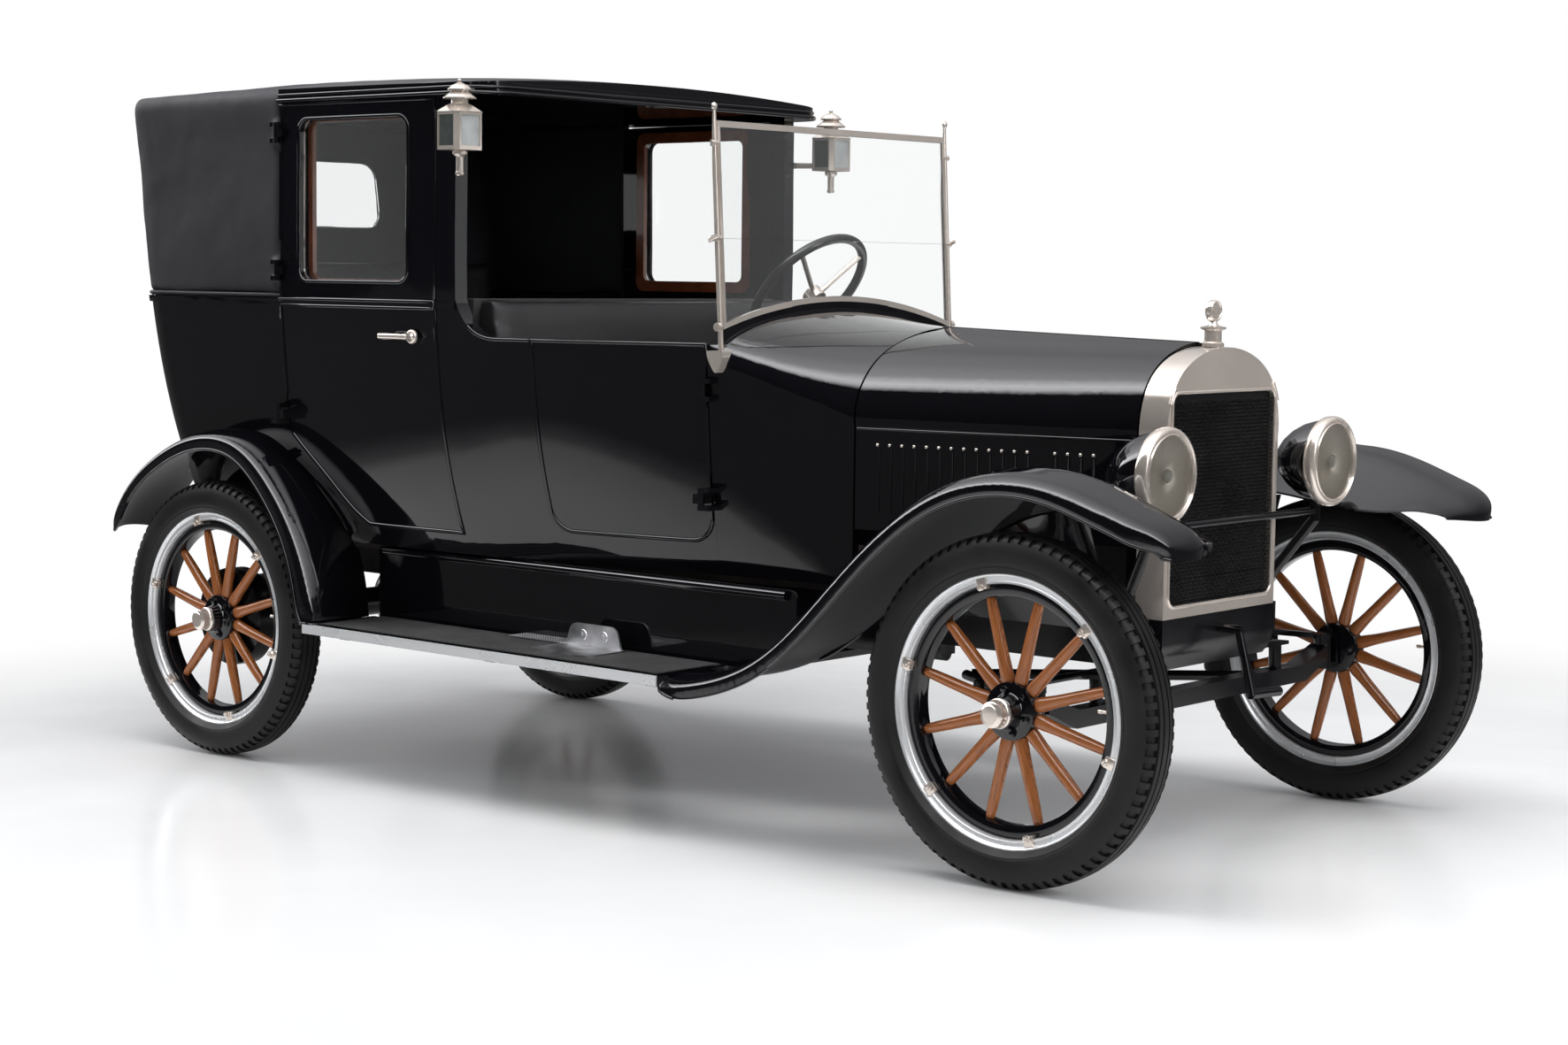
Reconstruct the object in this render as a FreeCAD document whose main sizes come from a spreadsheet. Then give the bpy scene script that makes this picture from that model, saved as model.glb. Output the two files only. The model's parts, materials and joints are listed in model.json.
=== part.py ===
"""A 1920s chauffeur-driven town car: open driver's compartment, closed rear cabin.

Millimetres. +X points forward, +Y to the car's left, +Z up. Pieces of the sprung body are drawn
level, from the middle of the wheelbase on the ground, and then leaned nose-down by the rake.
"""
import math
import os

import FreeCAD
import Part

V = FreeCAD.Vector
doc = FreeCAD.newDocument("TownCar")
sheet = doc.addObject("Spreadsheet::Sheet", "Sizes")

# Driving sizes: one name and one value each
SIZES = {
    "wheelbase": 2794, "track": 1422, "rake_degrees": 1.15, "origin_forward": 51,
    "tyre_radius": 393, "tyre_width": 112, "rim_radius": 306, "rim_width": 76, "rim_flange": 8,
    "bead_depth": 12,
    "felloe_inner": 253, "felloe_width": 44, "spoke_count": 12,
    "spoke_root": 30, "spoke_tip": 20, "hub_radius": 64, "hub_inner": 30, "hub_outer": 47,
    "hub_cap_reach": 93,
    "hub_cap_radius": 30, "axle_bore": 16, "running_fit": 0.3, "drum_radius": 140, "drum_width": 60,
    "kingpin_half": 632, "kingpin_radius": 22, "kingpin_height": 60, "steer_arm": 150,
    "tie_rod_z": 409, "tie_rod_radius": 9, "axle_beam_z": 330, "axle_beam_height": 42,
    "axle_beam_depth": 50, "front_spring_z": 434, "spring_height": 33, "spring_width": 50,
    "rear_axle_radius": 42, "diff_radius": 118, "rear_spring_back": 160,
    "rail_half": 300, "rail_bottom": 480, "rail_height": 100, "rail_width": 50,
    "rail_front": 1420, "rail_rear": -1740,
    "engine_rear": 700, "engine_length": 600, "engine_half": 150, "engine_bottom": 500,
    "engine_height": 500, "muffler_radius": 62, "pipe_radius": 20, "pipe_z": 440,
    "wall": 42, "door_gap": 6, "body_bottom": 604, "belt": 1290, "rail_top": 1818,
    "front_side_top": 1187, "cabin_half": 700, "turn_under": 108, "corner_radius": 150,
    "rear_bottom_x": -1750, "rear_belt_x": -1856, "rear_top_x": -1934,
    "pillar_front": -461, "pillar_rear": -526, "rear_door_rear": -1154, "rear_door_bottom": 663,
    "rear_door_top": 1812, "front_door_rear": -228, "front_door_front": 262,
    "front_door_bottom": 690, "cowl_front": 650, "cowl_half": 377, "cowl_wall": 24,
    "cowl_rise": 50, "cowl_swell": 150, "shield_base_x": 293, "shield_base_z": 1170,
    "shield_lean": 3.3, "shield_top": 1745,
    "shield_split": 1453, "shield_half": 464, "shield_bar": 16, "shield_side": 10, "shield_depth": 14,
    "shield_post": 7,
    "glass": 6, "hood_rear": 656, "hood_front": 1384, "hood_sheet": 8, "hood_bottom": 746,
    "hood_shoulder": 991, "hood_top_rear": 1236, "hood_top_front": 1217, "hood_seam": 5,
    "radiator_rear": 1390, "radiator_depth": 76, "radiator_half": 246, "radiator_top": 1208,
    "radiator_bottom": 584, "grille_half": 228, "grille_bottom": 610, "grille_top": 1106,
    "grille_corner": 28, "core_inset": 12, "core_ribs": 36, "core_relief": 7, "grille_rod_z": 668,
    "cap_top": 1316, "lamp_x": 1550, "lamp_half": 367, "lamp_z": 928,
    "lamp_radius": 110, "lamp_depth": 150, "side_lamp_x": -372, "side_lamp_half": 742,
    "side_lamp_bottom": 1614, "side_lamp_length": 84, "side_lamp_width": 96, "side_lamp_chamfer": 10,
    "roof_front": -345, "roof_rear": -1946, "roof_half": 702, "drip_reach": 7, "drip_height": 12,
    "roof_edge": 36, "roof_crown": 62,
    "roof_peak": -1164, "roof_edge_fall": 6, "roof_crown_fall": 34, "roof_corner": 120,
    "fender_edge": 790, "fender_sheet": 6, "fender_lip": 38, "fender_tip": 18, "board_top": 397,
    "board_thick": 25, "board_half": 800,
    "board_inner": 545, "board_front": 393, "board_rear": -942, "apron_sheet": 8,
    "mat_thick": 4, "step_rear": -141, "step_front": 80, "step_sheet": 5,
    "bead_reach": 6, "bead_low": 1263, "bead_high": 1281, "louvre_low": 789, "louvre_high": 947,
    "louvre_radius": 6, "lug_count": 6, "bolt_count": 6, "mat_rear_gap": 50, "mat_side_gap": 12,
    "skirt_rear": 640, "skirt_sheet": 4, "skirt_bow": 6,
    "wheel_hub_x": -100, "wheel_hub_y": 325, "wheel_hub_z": 1322, "steering_radius": 187,
    "steering_grip": 13, "column_degrees": 40, "toe_back": 60, "column_radius": 20, "floor_sheet": 26,
    "seat_gap": 10, "front_cushion_length": 440,
    "front_cushion_top": 960, "rear_cushion_rear": -1640, "rear_cushion_length": 480,
    "rear_cushion_top": 950, "seat_back": 120,
}
for row, (alias, value) in enumerate(SIZES.items(), 1):
    sheet.set("A%d" % row, alias)
    sheet.set("B%d" % row, str(value))
    sheet.setAlias("B%d" % row, alias)
doc.recompute()


class Named:
    """Reads each size from the sheet by its name."""

    def __getattr__(self, alias):
        return float(sheet.get(alias))


d = Named()
FRONT_X = d.wheelbase / 2
REAR_X = -d.wheelbase / 2
FIT = d.running_fit
FAR = 1200.0
ACROSS = FreeCAD.Rotation(V(0, 1, 0), V(0, 0, 1), V(1, 0, 0), "ZXY")
ALONG = FreeCAD.Rotation(V(1, 0, 0), V(0, 0, 1), V(0, -1, 0), "ZXY")
GROUND = FreeCAD.Placement(V(d.origin_forward, 0, 0), FreeCAD.Rotation())
SPRUNG = FreeCAD.Placement(V(d.origin_forward, 0, 0), FreeCAD.Rotation(V(0, 1, 0), d.rake_degrees))
nodes = {}


def line(a, b):
    return Part.LineSegment(V(*a, 0), V(*b, 0))


def lines(points, closed=True):
    ends = points[1:] + points[:1] if closed else points[1:]
    return [line(a, b) for a, b in zip(points, ends)]


def arc(a, b, c):
    return Part.Arc(V(*a, 0), V(*b, 0), V(*c, 0))


def spline(points):
    curve = Part.BSplineCurve()
    curve.interpolate([V(*p, 0) for p in points])
    return curve


def rounded(points, radii):
    """Closed outline through the points, each corner rounded by its radius."""
    count = len(points)
    enter, leave = [], []
    for i, radius in enumerate(radii):
        here = V(*points[i], 0)
        before = (V(*points[i - 1], 0) - here).normalize()
        after = (V(*points[(i + 1) % count], 0) - here).normalize()
        reach = radius / math.tan(before.getAngle(after) / 2)
        enter.append(here + before * reach)
        leave.append(here + after * reach)
    edges = []
    for i, radius in enumerate(radii):
        if radius:
            here = V(*points[i], 0)
            middle = (enter[i] + leave[i]) / 2
            half = (enter[i] - leave[i]).Length / 2
            inward = (middle - here).normalize()
            centre = here + inward * math.hypot(radius, (enter[i] - here).Length)
            edges.append(Part.Arc(enter[i], centre - inward * radius, leave[i]))
        edges.append(Part.LineSegment(leave[i], enter[(i + 1) % count]))
    return edges


def sketch(name, edges, base, turn):
    made = doc.addObject("Sketcher::SketchObject", name)
    made.addGeometry(edges, False)
    made.Placement = FreeCAD.Placement(base, turn)
    return made


def extrude(name, edges, base, turn, length):
    """Solid from an outline, pushed along its plane's normal by a length or a cell's name."""
    made = doc.addObject("Part::Extrusion", name)
    made.Base = sketch(name + "_outline", edges, base, turn)
    made.DirMode = "Normal"
    made.Solid = True
    if isinstance(length, str):
        made.setExpression("LengthFwd", "Sizes." + length)
    else:
        made.LengthFwd = length
    return made


def side_prism(name, edges, low=0.0, high=FAR):
    """Outline in the side view, as a prism between two distances from the centre plane."""
    return extrude(name, edges, V(0, high, 0), ALONG, high - low)


def loft(name, sections):
    made = doc.addObject("Part::Loft", name)
    made.Sections = sections
    made.Solid = True
    made.Ruled = False
    return made


def cut(name, base, tool):
    made = doc.addObject("Part::Cut", name)
    made.Base = base
    made.Tool = tool
    return made


def common(name, base, tool):
    made = doc.addObject("Part::Common", name)
    made.Base = base
    made.Tool = tool
    return made


def fuse(name, shapes):
    made = doc.addObject("Part::MultiFuse", name)
    made.Shapes = shapes
    return made


def mirror(name, source):
    made = doc.addObject("Part::Mirroring", name)
    made.Source = source
    made.Normal = V(0, 1, 0)
    return made


def box(name, low, high):
    made = doc.addObject("Part::Box", name)
    made.Length, made.Width, made.Height = (high[i] - low[i] for i in range(3))
    made.Placement.Base = V(*low)
    return made


def rod(name, start, end, radius):
    """Round bar between two points; the radius is a number or a cell's name."""
    made = doc.addObject("Part::Cylinder", name)
    if isinstance(radius, str):
        made.setExpression("Radius", "Sizes." + radius)
    else:
        made.Radius = radius
    way = V(*end) - V(*start)
    made.Height = way.Length
    made.Placement = FreeCAD.Placement(V(*start), FreeCAD.Rotation(V(0, 0, 1), way))
    return made


def turned(name, edges, base, axis):
    """Body turned about a line: the outline gives distance along the axis, then radius."""
    made = doc.addObject("PartDesign::Body", name)
    plane = [f for f in made.Origin.OriginFeatures if f.Role == "XY_Plane"][0]
    outline = made.newObject("Sketcher::SketchObject", name + "_profile")
    outline.AttachmentSupport = (plane, "")
    outline.MapMode = "FlatFace"
    outline.addGeometry(edges, False)
    feature = made.newObject("PartDesign::Revolution", name + "_turn")
    feature.Profile = outline
    feature.ReferenceAxis = (outline, ["H_Axis"])
    feature.Angle = 360
    made.Placement = FreeCAD.Placement(V(*base), FreeCAD.Rotation(V(1, 0, 0), V(*axis)))
    return made


def node(name, made, frame):
    made.Label = name
    made.Placement = frame.multiply(made.Placement)
    nodes[name] = made
    return made


def pair(name, made, frame):
    """Names the left piece and its mirror image on the right."""
    left = node(name + "_left", made, frame)
    right = mirror(name + "_right", left)
    right.Label = name + "_right"
    nodes[name + "_right"] = right


def ground_at(x, z):
    """Height that a sprung point has above the ground, for pieces that meet unsprung ones."""
    turn = math.radians(d.rake_degrees)
    return z * math.cos(turn) - x * math.sin(turn)


def sprung_z(x, height):
    """Level-drawing height of a sprung point that ends at this height above the ground."""
    turn = math.radians(d.rake_degrees)
    return (height + x * math.sin(turn)) / math.cos(turn)


# Wheels
def bead_half():
    """Half the width between the rim's flanges, where the tyre sits."""
    return d.rim_width / 2 - d.rim_flange


def tyre(name, x, y):
    half = d.tyre_width / 2
    bead, low, lip = bead_half(), d.rim_radius - d.bead_depth, d.rim_radius + 2
    shoulder, wide = d.tyre_radius - 12, d.tyre_radius - 46
    edges = [line((-bead, low), (bead, low)), line((bead, low), (bead, lip)),
             arc((bead, lip), (half, wide), (half * 0.62, shoulder)),
             arc((half * 0.62, shoulder), (0, d.tyre_radius), (-half * 0.62, shoulder)),
             arc((-half * 0.62, shoulder), (-half, wide), (-bead, lip)),
             line((-bead, lip), (-bead, low))]
    return turned(name, edges, (x, y, d.tyre_radius), (0, 1, 0))


def wheel(name, x, side, driven):
    """Rim, felloe, wooden spokes and hub, turned and fused, bored for the axle."""
    out = (0, side, 0)
    centre = (x, side * d.track / 2, d.tyre_radius)
    rim, low = d.rim_width / 2, d.rim_radius - d.bead_depth - FIT
    felloe, seat = d.felloe_width / 2, bead_half() + FIT
    ring = turned(name + "_ring", lines([(-seat, low), (seat, low), (seat, d.rim_radius),
                  (rim, d.rim_radius), (rim, low - 7), (felloe, low - 7),
                  (felloe, d.felloe_inner), (-felloe, d.felloe_inner), (-felloe, low - 7),
                  (-rim, low - 7), (-rim, d.rim_radius), (-seat, d.rim_radius)]), centre, out)
    bore, cap = d.axle_bore + FIT, d.hub_cap_radius
    hub = turned(name + "_hub", lines([(-d.hub_inner, bore), (d.hub_outer, bore),
                 (d.hub_outer, 0), (d.hub_cap_reach, 0), (d.hub_cap_reach, cap - 6),
                 (d.hub_cap_reach - 8, cap), (30, cap + 4), (22, d.hub_radius),
                 (-22, d.hub_radius), (-d.hub_inner, cap + 8)]), centre, out)
    pieces = [ring, hub]
    for i in range(int(d.spoke_count)):
        turn = 2 * math.pi * (i + 0.5) / d.spoke_count
        way = V(math.cos(turn), 0, math.sin(turn))
        spoke = doc.addObject("Part::Cone", "%s_spoke_%d" % (name, i))
        spoke.setExpression("Radius1", "Sizes.spoke_root / 2")
        spoke.setExpression("Radius2", "Sizes.spoke_tip / 2")
        spoke.Height = d.felloe_inner - d.hub_radius + 12
        spoke.Placement = FreeCAD.Placement(V(*centre) + way * (d.hub_radius - 6),
                                            FreeCAD.Rotation(V(0, 0, 1), way))
        pieces.append(spoke)
    for i in range(int(d.lug_count)):
        turn = 2 * math.pi * (i + 0.25) / d.lug_count
        seat_at = V(*centre) + V(math.cos(turn), 0, math.sin(turn)) * (low - 9)
        pieces.append(rod("%s_lug_%d" % (name, i), tuple(seat_at + V(0, side * (felloe - 4), 0)),
                          tuple(seat_at + V(0, side * (rim + 3), 0)), 9))
    for i in range(int(d.bolt_count)):
        turn = 2 * math.pi * i / d.bolt_count
        bolt_at = V(*centre) + V(math.cos(turn), 0, math.sin(turn)) * (d.hub_radius - 14)
        pieces.append(rod("%s_bolt_%d" % (name, i), tuple(bolt_at + V(0, side * 18, 0)),
                          tuple(bolt_at + V(0, side * 29, 0)), 6))
    if driven:
        face = 10 - d.hub_inner
        inner = face - d.drum_width
        pieces.append(turned(name + "_drum", lines([(face, cap), (face, d.drum_radius),
                      (inner, d.drum_radius), (inner, d.drum_radius - 10),
                      (face - 10, d.drum_radius - 10), (face - 10, cap)]), centre, out))
    return fuse(name, pieces)


for end, x in (("front", FRONT_X), ("rear", REAR_X)):
    for hand, side in (("left", 1), ("right", -1)):
        node("tyre_%s_%s" % (end, hand), tyre("tyre_%s_%s" % (end, hand), x, side * d.track / 2),
             GROUND)
        node("wheel_%s_%s" % (end, hand), wheel("wheel_%s_%s" % (end, hand), x, side,
                                                end == "rear"), GROUND)


# Steering knuckles, tie rod and front axle
def knuckle(name, side):
    y, half = side * d.kingpin_half, d.kingpin_height / 2
    ear, top = 14, d.tyre_radius + half + FIT
    low = d.tyre_radius - half - FIT
    reach, plate = d.kingpin_radius + 8, 12
    arm_x = FRONT_X - d.steer_arm
    inner, outer = sorted((y + side * reach, y + side * (reach + plate)))
    ends = sorted((y, y + side * (reach + plate)))
    wide = d.kingpin_radius
    pieces = [
        rod(name + "_ear_top", (FRONT_X, y, top), (FRONT_X, y, top + ear), d.kingpin_radius + 2),
        rod(name + "_ear_low", (FRONT_X, y, low - ear), (FRONT_X, y, low), d.kingpin_radius + 2),
        box(name + "_web_top", (FRONT_X - wide, ends[0], top), (FRONT_X + wide, ends[1], top + ear)),
        box(name + "_web_low", (FRONT_X - wide, ends[0], low - ear), (FRONT_X + wide, ends[1], low)),
        box(name + "_plate", (FRONT_X - wide, inner, low - ear), (FRONT_X + wide, outer, top + ear)),
        rod(name + "_spindle", (FRONT_X, y + side * reach, d.tyre_radius),
            (FRONT_X, side * (d.track / 2 + d.hub_outer - 2), d.tyre_radius), "axle_bore"),
        box(name + "_arm", (arm_x, y - 10, top), (FRONT_X, y + 10, top + ear)),
        rod(name + "_eye", (arm_x, y, top), (arm_x, y, top + ear), 18),
        rod(name + "_pin", (arm_x, y, d.tie_rod_z - 14), (arm_x, y, top + 2), 8)]
    return fuse(name, pieces)


node("knuckle_left", knuckle("knuckle_left", 1), GROUND)
node("knuckle_right", knuckle("knuckle_right", -1), GROUND)
arm_x = FRONT_X - d.steer_arm
tie_z = d.tie_rod_z
bar = fuse("tie_rod_bar", [
    rod("tie_rod_tube", (arm_x, -d.kingpin_half, tie_z), (arm_x, d.kingpin_half, tie_z),
        "tie_rod_radius"),
    rod("tie_eye_left", (arm_x, d.kingpin_half, tie_z - 12), (arm_x, d.kingpin_half, tie_z + 12), 17),
    rod("tie_eye_right", (arm_x, -d.kingpin_half, tie_z - 12), (arm_x, -d.kingpin_half, tie_z + 12),
        17)])
bores = fuse("tie_rod_bores", [
    rod("tie_bore_left", (arm_x, d.kingpin_half, tie_z - 20), (arm_x, d.kingpin_half, tie_z + 20),
        8 + FIT),
    rod("tie_bore_right", (arm_x, -d.kingpin_half, tie_z - 20), (arm_x, -d.kingpin_half, tie_z + 20),
        8 + 1)])
node("tie_rod", cut("tie_rod", bar, bores), GROUND)

half_pin = d.kingpin_height / 2
beam_top = d.axle_beam_z + d.axle_beam_height
beam_end = d.kingpin_half - d.kingpin_radius + 6
beam = lines([(-beam_end, d.tyre_radius + 18), (-beam_end, d.tyre_radius - 18),
              (-beam_end + 110, d.axle_beam_z), (beam_end - 110, d.axle_beam_z),
              (beam_end, d.tyre_radius - 18), (beam_end, d.tyre_radius + 18),
              (beam_end - 120, beam_top), (-beam_end + 120, beam_top)])
depth = d.axle_beam_depth / 2
axle = [extrude("axle_beam", beam, V(FRONT_X - depth, 0, 0), ACROSS, "axle_beam_depth")]
for side in (-1, 1):
    y = side * d.kingpin_half
    axle.append(rod("kingpin_boss_%d" % side, (FRONT_X, y, d.tyre_radius - half_pin),
                    (FRONT_X, y, d.tyre_radius + half_pin), "kingpin_radius"))
    axle.append(rod("radius_rod_%d" % side, (FRONT_X - 10, side * 440, d.axle_beam_z + 16),
                    (d.engine_rear + 40, side * 12, d.axle_beam_z + 10), 13))
    perch = side * 395
    axle.append(rod("spring_perch_%d" % side, (FRONT_X, perch, beam_top - 4),
                    (FRONT_X, perch, d.front_spring_z - 2.2), 16))
node("front_axle", fuse("front_axle", axle), GROUND)


def leaf_spring(name, x, z, half):
    """Transverse leaf pack, thickest at the middle, as one stepped block."""
    thick, tip = d.spring_height, 9
    edges = [arc((-half, z - 2), (0, z), (half, z - 2)), line((half, z - 2), (half, z - 2 + tip)),
             line((half, z - 2 + tip), (half * 0.55, z + thick * 0.62)),
             line((half * 0.55, z + thick * 0.62), (half * 0.2, z + thick)),
             line((half * 0.2, z + thick), (-half * 0.2, z + thick)),
             line((-half * 0.2, z + thick), (-half * 0.55, z + thick * 0.62)),
             line((-half * 0.55, z + thick * 0.62), (-half, z - 2 + tip)),
             line((-half, z - 2 + tip), (-half, z - 2))]
    return extrude(name, edges, V(x - d.spring_width / 2, 0, 0), ACROSS, "spring_width")


node("front_spring", leaf_spring("front_spring", FRONT_X, d.front_spring_z, 420), GROUND)

# Rear axle, its spring, and the torque tube to the engine
rear_y = d.track / 2 - d.hub_inner - d.drum_width - 8
tube_front = d.engine_rear - 12
diff = turned("differential", [arc((-95, 60), (0, d.diff_radius), (95, 60)), line((95, 60), (95, 0)),
                               line((95, 0), (-95, 0)), line((-95, 0), (-95, 60))],
              (REAR_X, 0, d.tyre_radius), (0, 1, 0))
rear_spring_x = REAR_X - d.rear_spring_back
rear_spring_z = ground_at(rear_spring_x, d.rail_bottom) - d.spring_height - 1
axle = [diff,
        rod("axle_tube", (REAR_X, -rear_y, d.tyre_radius), (REAR_X, rear_y, d.tyre_radius),
            "rear_axle_radius"),
        rod("half_shafts", (REAR_X, 2 - d.track / 2 - d.hub_outer, d.tyre_radius),
            (REAR_X, d.track / 2 + d.hub_outer - 2, d.tyre_radius), "axle_bore"),
        rod("torque_tube", (REAR_X, 0, d.tyre_radius),
            (tube_front, 0, d.engine_bottom + 20), 34)]
for side in (-1, 1):
    axle.append(box("spring_shackle_%d" % side, (rear_spring_x - 20, side * 430 - 16, d.tyre_radius - 20),
                    (REAR_X, side * 430 + 16, d.tyre_radius + 20)))
    axle.append(rod("shackle_post_%d" % side, (rear_spring_x, side * 430, d.tyre_radius),
                    (rear_spring_x, side * 430, rear_spring_z - 2.5), 15))
node("rear_axle", fuse("rear_axle", axle), GROUND)
node("rear_spring", leaf_spring("rear_spring", rear_spring_x, rear_spring_z, 450), GROUND)

# Chassis frame
rail_top = d.rail_bottom + d.rail_height
inner, outer = d.rail_half - d.rail_width / 2, d.rail_half + d.rail_width / 2
frame = []
for side in (-1, 1):
    low, high = sorted((side * inner, side * outer))
    frame.append(box("rail_%d" % side, (d.rail_rear, low, d.rail_bottom), (d.rail_front, high, rail_top)))
cross = (("front", FRONT_X - 30, FRONT_X + 30, sprung_z(FRONT_X, d.front_spring_z + 1 + d.spring_height)),
         ("middle", -120, -50, d.rail_bottom + 60),
         ("back", rear_spring_x - 30, rear_spring_x + 30, d.rail_bottom))
for name, low, high, bottom in cross:
    frame.append(box("cross_" + name, (low, -outer, bottom), (high, outer, rail_top - 2)))
board_low = d.board_top - d.board_thick
for i, x in enumerate((300, -280, -860)):
    frame.append(box("board_arm_%d" % i, (x - 20, -720, board_low - 18), (x + 20, 720, board_low)))
    for side in (-1, 1):
        low, high = sorted((side * inner, side * outer))
        frame.append(box("drop_%d_%d" % (i, side), (x - 20, low, board_low - 2),
                         (x + 20, high, d.rail_bottom + 2)))
node("chassis_frame", fuse("chassis_frame", frame), SPRUNG)

engine = [box("engine_block", (d.engine_rear, -d.engine_half, d.engine_bottom),
              (d.engine_rear + d.engine_length, d.engine_half, d.engine_bottom + d.engine_height))]
for i, x in enumerate((d.engine_rear + 60, d.engine_rear + d.engine_length - 60)):
    engine.append(box("engine_arm_%d" % i, (x - 25, -d.rail_half, rail_top),
                      (x + 25, d.rail_half, rail_top + 24)))
node("engine", fuse("engine", engine), SPRUNG)

muffler_x = -500
pipe = d.engine_half + 60
exhaust = fuse("exhaust_pipe", [
    rod("pipe_down", (d.engine_rear + 120, -pipe, rail_top + 80),
        (d.engine_rear + 120, -pipe, d.pipe_z), "pipe_radius"),
    rod("pipe_to_block", (d.engine_rear + 120, -d.engine_half - FIT, rail_top + 60),
        (d.engine_rear + 120, -pipe, rail_top + 60), "pipe_radius"),
    rod("pipe_front", (d.engine_rear + 120, -pipe, d.pipe_z), (muffler_x, -pipe, d.pipe_z),
        "pipe_radius"),
    rod("muffler", (muffler_x, -pipe, d.pipe_z), (muffler_x - 480, -pipe, d.pipe_z),
        "muffler_radius"),
    rod("pipe_tail", (muffler_x - 480, -pipe, d.pipe_z), (muffler_x - 700, -pipe, d.pipe_z),
        "pipe_radius")])
node("exhaust", exhaust, SPRUNG)


# Body shell: level outlines of the whole body, lofted upward
def fade(x):
    """Turn-under fades out towards the cowl."""
    return max(0.0, min(1.0, (d.cowl_front - x) / (d.cowl_front - d.front_door_rear)))


def plan_half(x):
    """Half-width of the body at the belt."""
    table = ((d.cowl_front, d.cowl_half), (d.shield_base_x, 478), (d.front_door_front, 487),
             (0, 574), (d.front_door_rear, 636), (d.pillar_front, 676),
             (-700, d.cabin_half - 2), (-1150, d.cabin_half), (-1500, d.cabin_half - 2),
             (-1800, d.cabin_half - 8), (-2100, d.cabin_half - 20))
    for (x1, y1), (x2, y2) in zip(table, table[1:]):
        if x >= x2:
            return y1 + (y2 - y1) * (x1 - x) / (x1 - x2)
    return table[-1][1]


def tuck(z):
    """How far the side is tucked in below the belt."""
    return d.turn_under * max(0.0, (d.belt - 20 - z) / 610) ** 2


def rear_x(z):
    """Rear wall, leaning back above and tucked in below."""
    if z < d.belt:
        share = (d.belt - z) / (d.belt - d.body_bottom)
        return d.rear_belt_x + (d.rear_bottom_x - d.rear_belt_x) * share
    share = (z - d.belt) / (1830 - d.belt)
    return d.rear_belt_x + (d.rear_top_x - d.rear_belt_x) * share


def level_outline(z, inset):
    """Closed plan outline of the body at one height, drawn inside the skin by the inset."""
    back, radius = rear_x(z) + inset, max(d.corner_radius - max(inset, 0), 30)
    stations = [d.front_door_front, 0, d.front_door_rear, d.pillar_front, -700, -1150, -1500,
                back + radius]
    side = [(x, plan_half(x) - tuck(z) * fade(x) - inset) for x in stations]
    low = [(x, -y) for x, y in side]
    corner = side[-1][1]
    bend = radius * (1 - math.sqrt(0.5))
    return [line(low[0], side[0]), spline(side),
            arc(side[-1], (back + bend, corner - bend), (back, corner - radius)),
            line((back, corner - radius), (back, radius - corner)),
            arc((back, radius - corner), (back + bend, bend - corner), low[-1]),
            spline(low[::-1])]


def shell_solid(name, inset, reach=0.0):
    levels = (d.body_bottom - reach, 890, d.belt, 1560, d.rail_top + reach)
    return loft(name, [sketch("%s_level_%d" % (name, i), level_outline(z, inset), V(0, 0, z),
                              FreeCAD.Rotation()) for i, z in enumerate(levels)])


def shell(name):
    return cut(name, shell_solid(name + "_outside", 0.0), shell_solid(name + "_inside", d.wall, 1.0))


def rear_door_edges(grow):
    """Rear door outline; its lower rear corner follows the rear fender."""
    front, back = d.pillar_rear + grow - d.door_gap, d.rear_door_rear + d.door_gap - grow
    bottom, top = d.rear_door_bottom - grow, d.rear_door_top + grow
    sweep = [(back, 905 - grow), (-1105 - grow * 0.7, 862 - grow * 0.7),
             (-1020 - grow * 0.7, 778 - grow * 0.7), (-955 - grow * 0.6, 708 - grow * 0.6),
             (-893 - grow * 0.4, bottom)]
    return [line((front, bottom), (front, top)), line((front, top), (back, top)),
            line((back, top), sweep[0]), spline(sweep), line(sweep[-1], (front, bottom))]


def window_edges(grow):
    low, high, back, front = 1330, 1772, -1069, -627
    points = [(back - grow, low - grow), (front + grow, low - grow), (front + grow, high + grow),
              (back - grow, high + grow)]
    return rounded(points, [36 + grow] * 4)


def front_door_edges(grow):
    front, back = d.front_door_front - d.door_gap + grow, d.front_door_rear + d.door_gap - grow
    low, high = d.front_door_bottom - grow, d.front_side_top + (grow and FAR)
    points = [(back, low), (front, low), (front, high), (back, high)]
    return rounded(points, [60 + grow, 60 + grow, 0, 0])


def hinge(name, x, y, z, way, depth_in):
    """Door and body halves of one hinge: barrel, leaf and the arm that reaches the skin."""
    barrel, leaf = 9, 12
    door = [rod(name + "_barrel", (x, y, z - 16), (x, y, z + 16), barrel),
            box(name + "_leaf", (min(x, x + way * 26), y - depth_in, z - 12),
                (max(x, x + way * 26), y + 3, z + 12))]
    body = []
    for part, low in (("top", z + 16 + FIT), ("low", z - 16 - FIT - leaf)):
        body.append(rod("%s_%s" % (name, part), (x, y, low), (x, y, low + leaf), barrel))
        body.append(box("%s_%s_arm" % (name, part), (min(x, x - way * 26), y - depth_in, low),
                        (max(x, x - way * 26), y + 3, low + leaf)))
    return door, body


rear_hinge_x = d.rear_door_rear + d.door_gap / 2
rear_hinge_y = d.cabin_half + 12
front_hinge_x = d.front_door_front - d.door_gap / 2
front_hinge_y = plan_half(front_hinge_x) + 14
door_halves, body_halves = {"rear": [], "front": []}, []
for which, x, y, way, heights in (("rear", rear_hinge_x, rear_hinge_y, 1, (1737, 1359, 961)),
                                  ("front", front_hinge_x, front_hinge_y, -1, (1075, 800))):
    for i, z in enumerate(heights):
        reach = y - (plan_half(x) - tuck(z) * fade(x)) + 24
        a, b = hinge("%s_hinge_%d" % (which, i), x, y, z, way, reach)
        door_halves[which] += a
        body_halves += b

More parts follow.
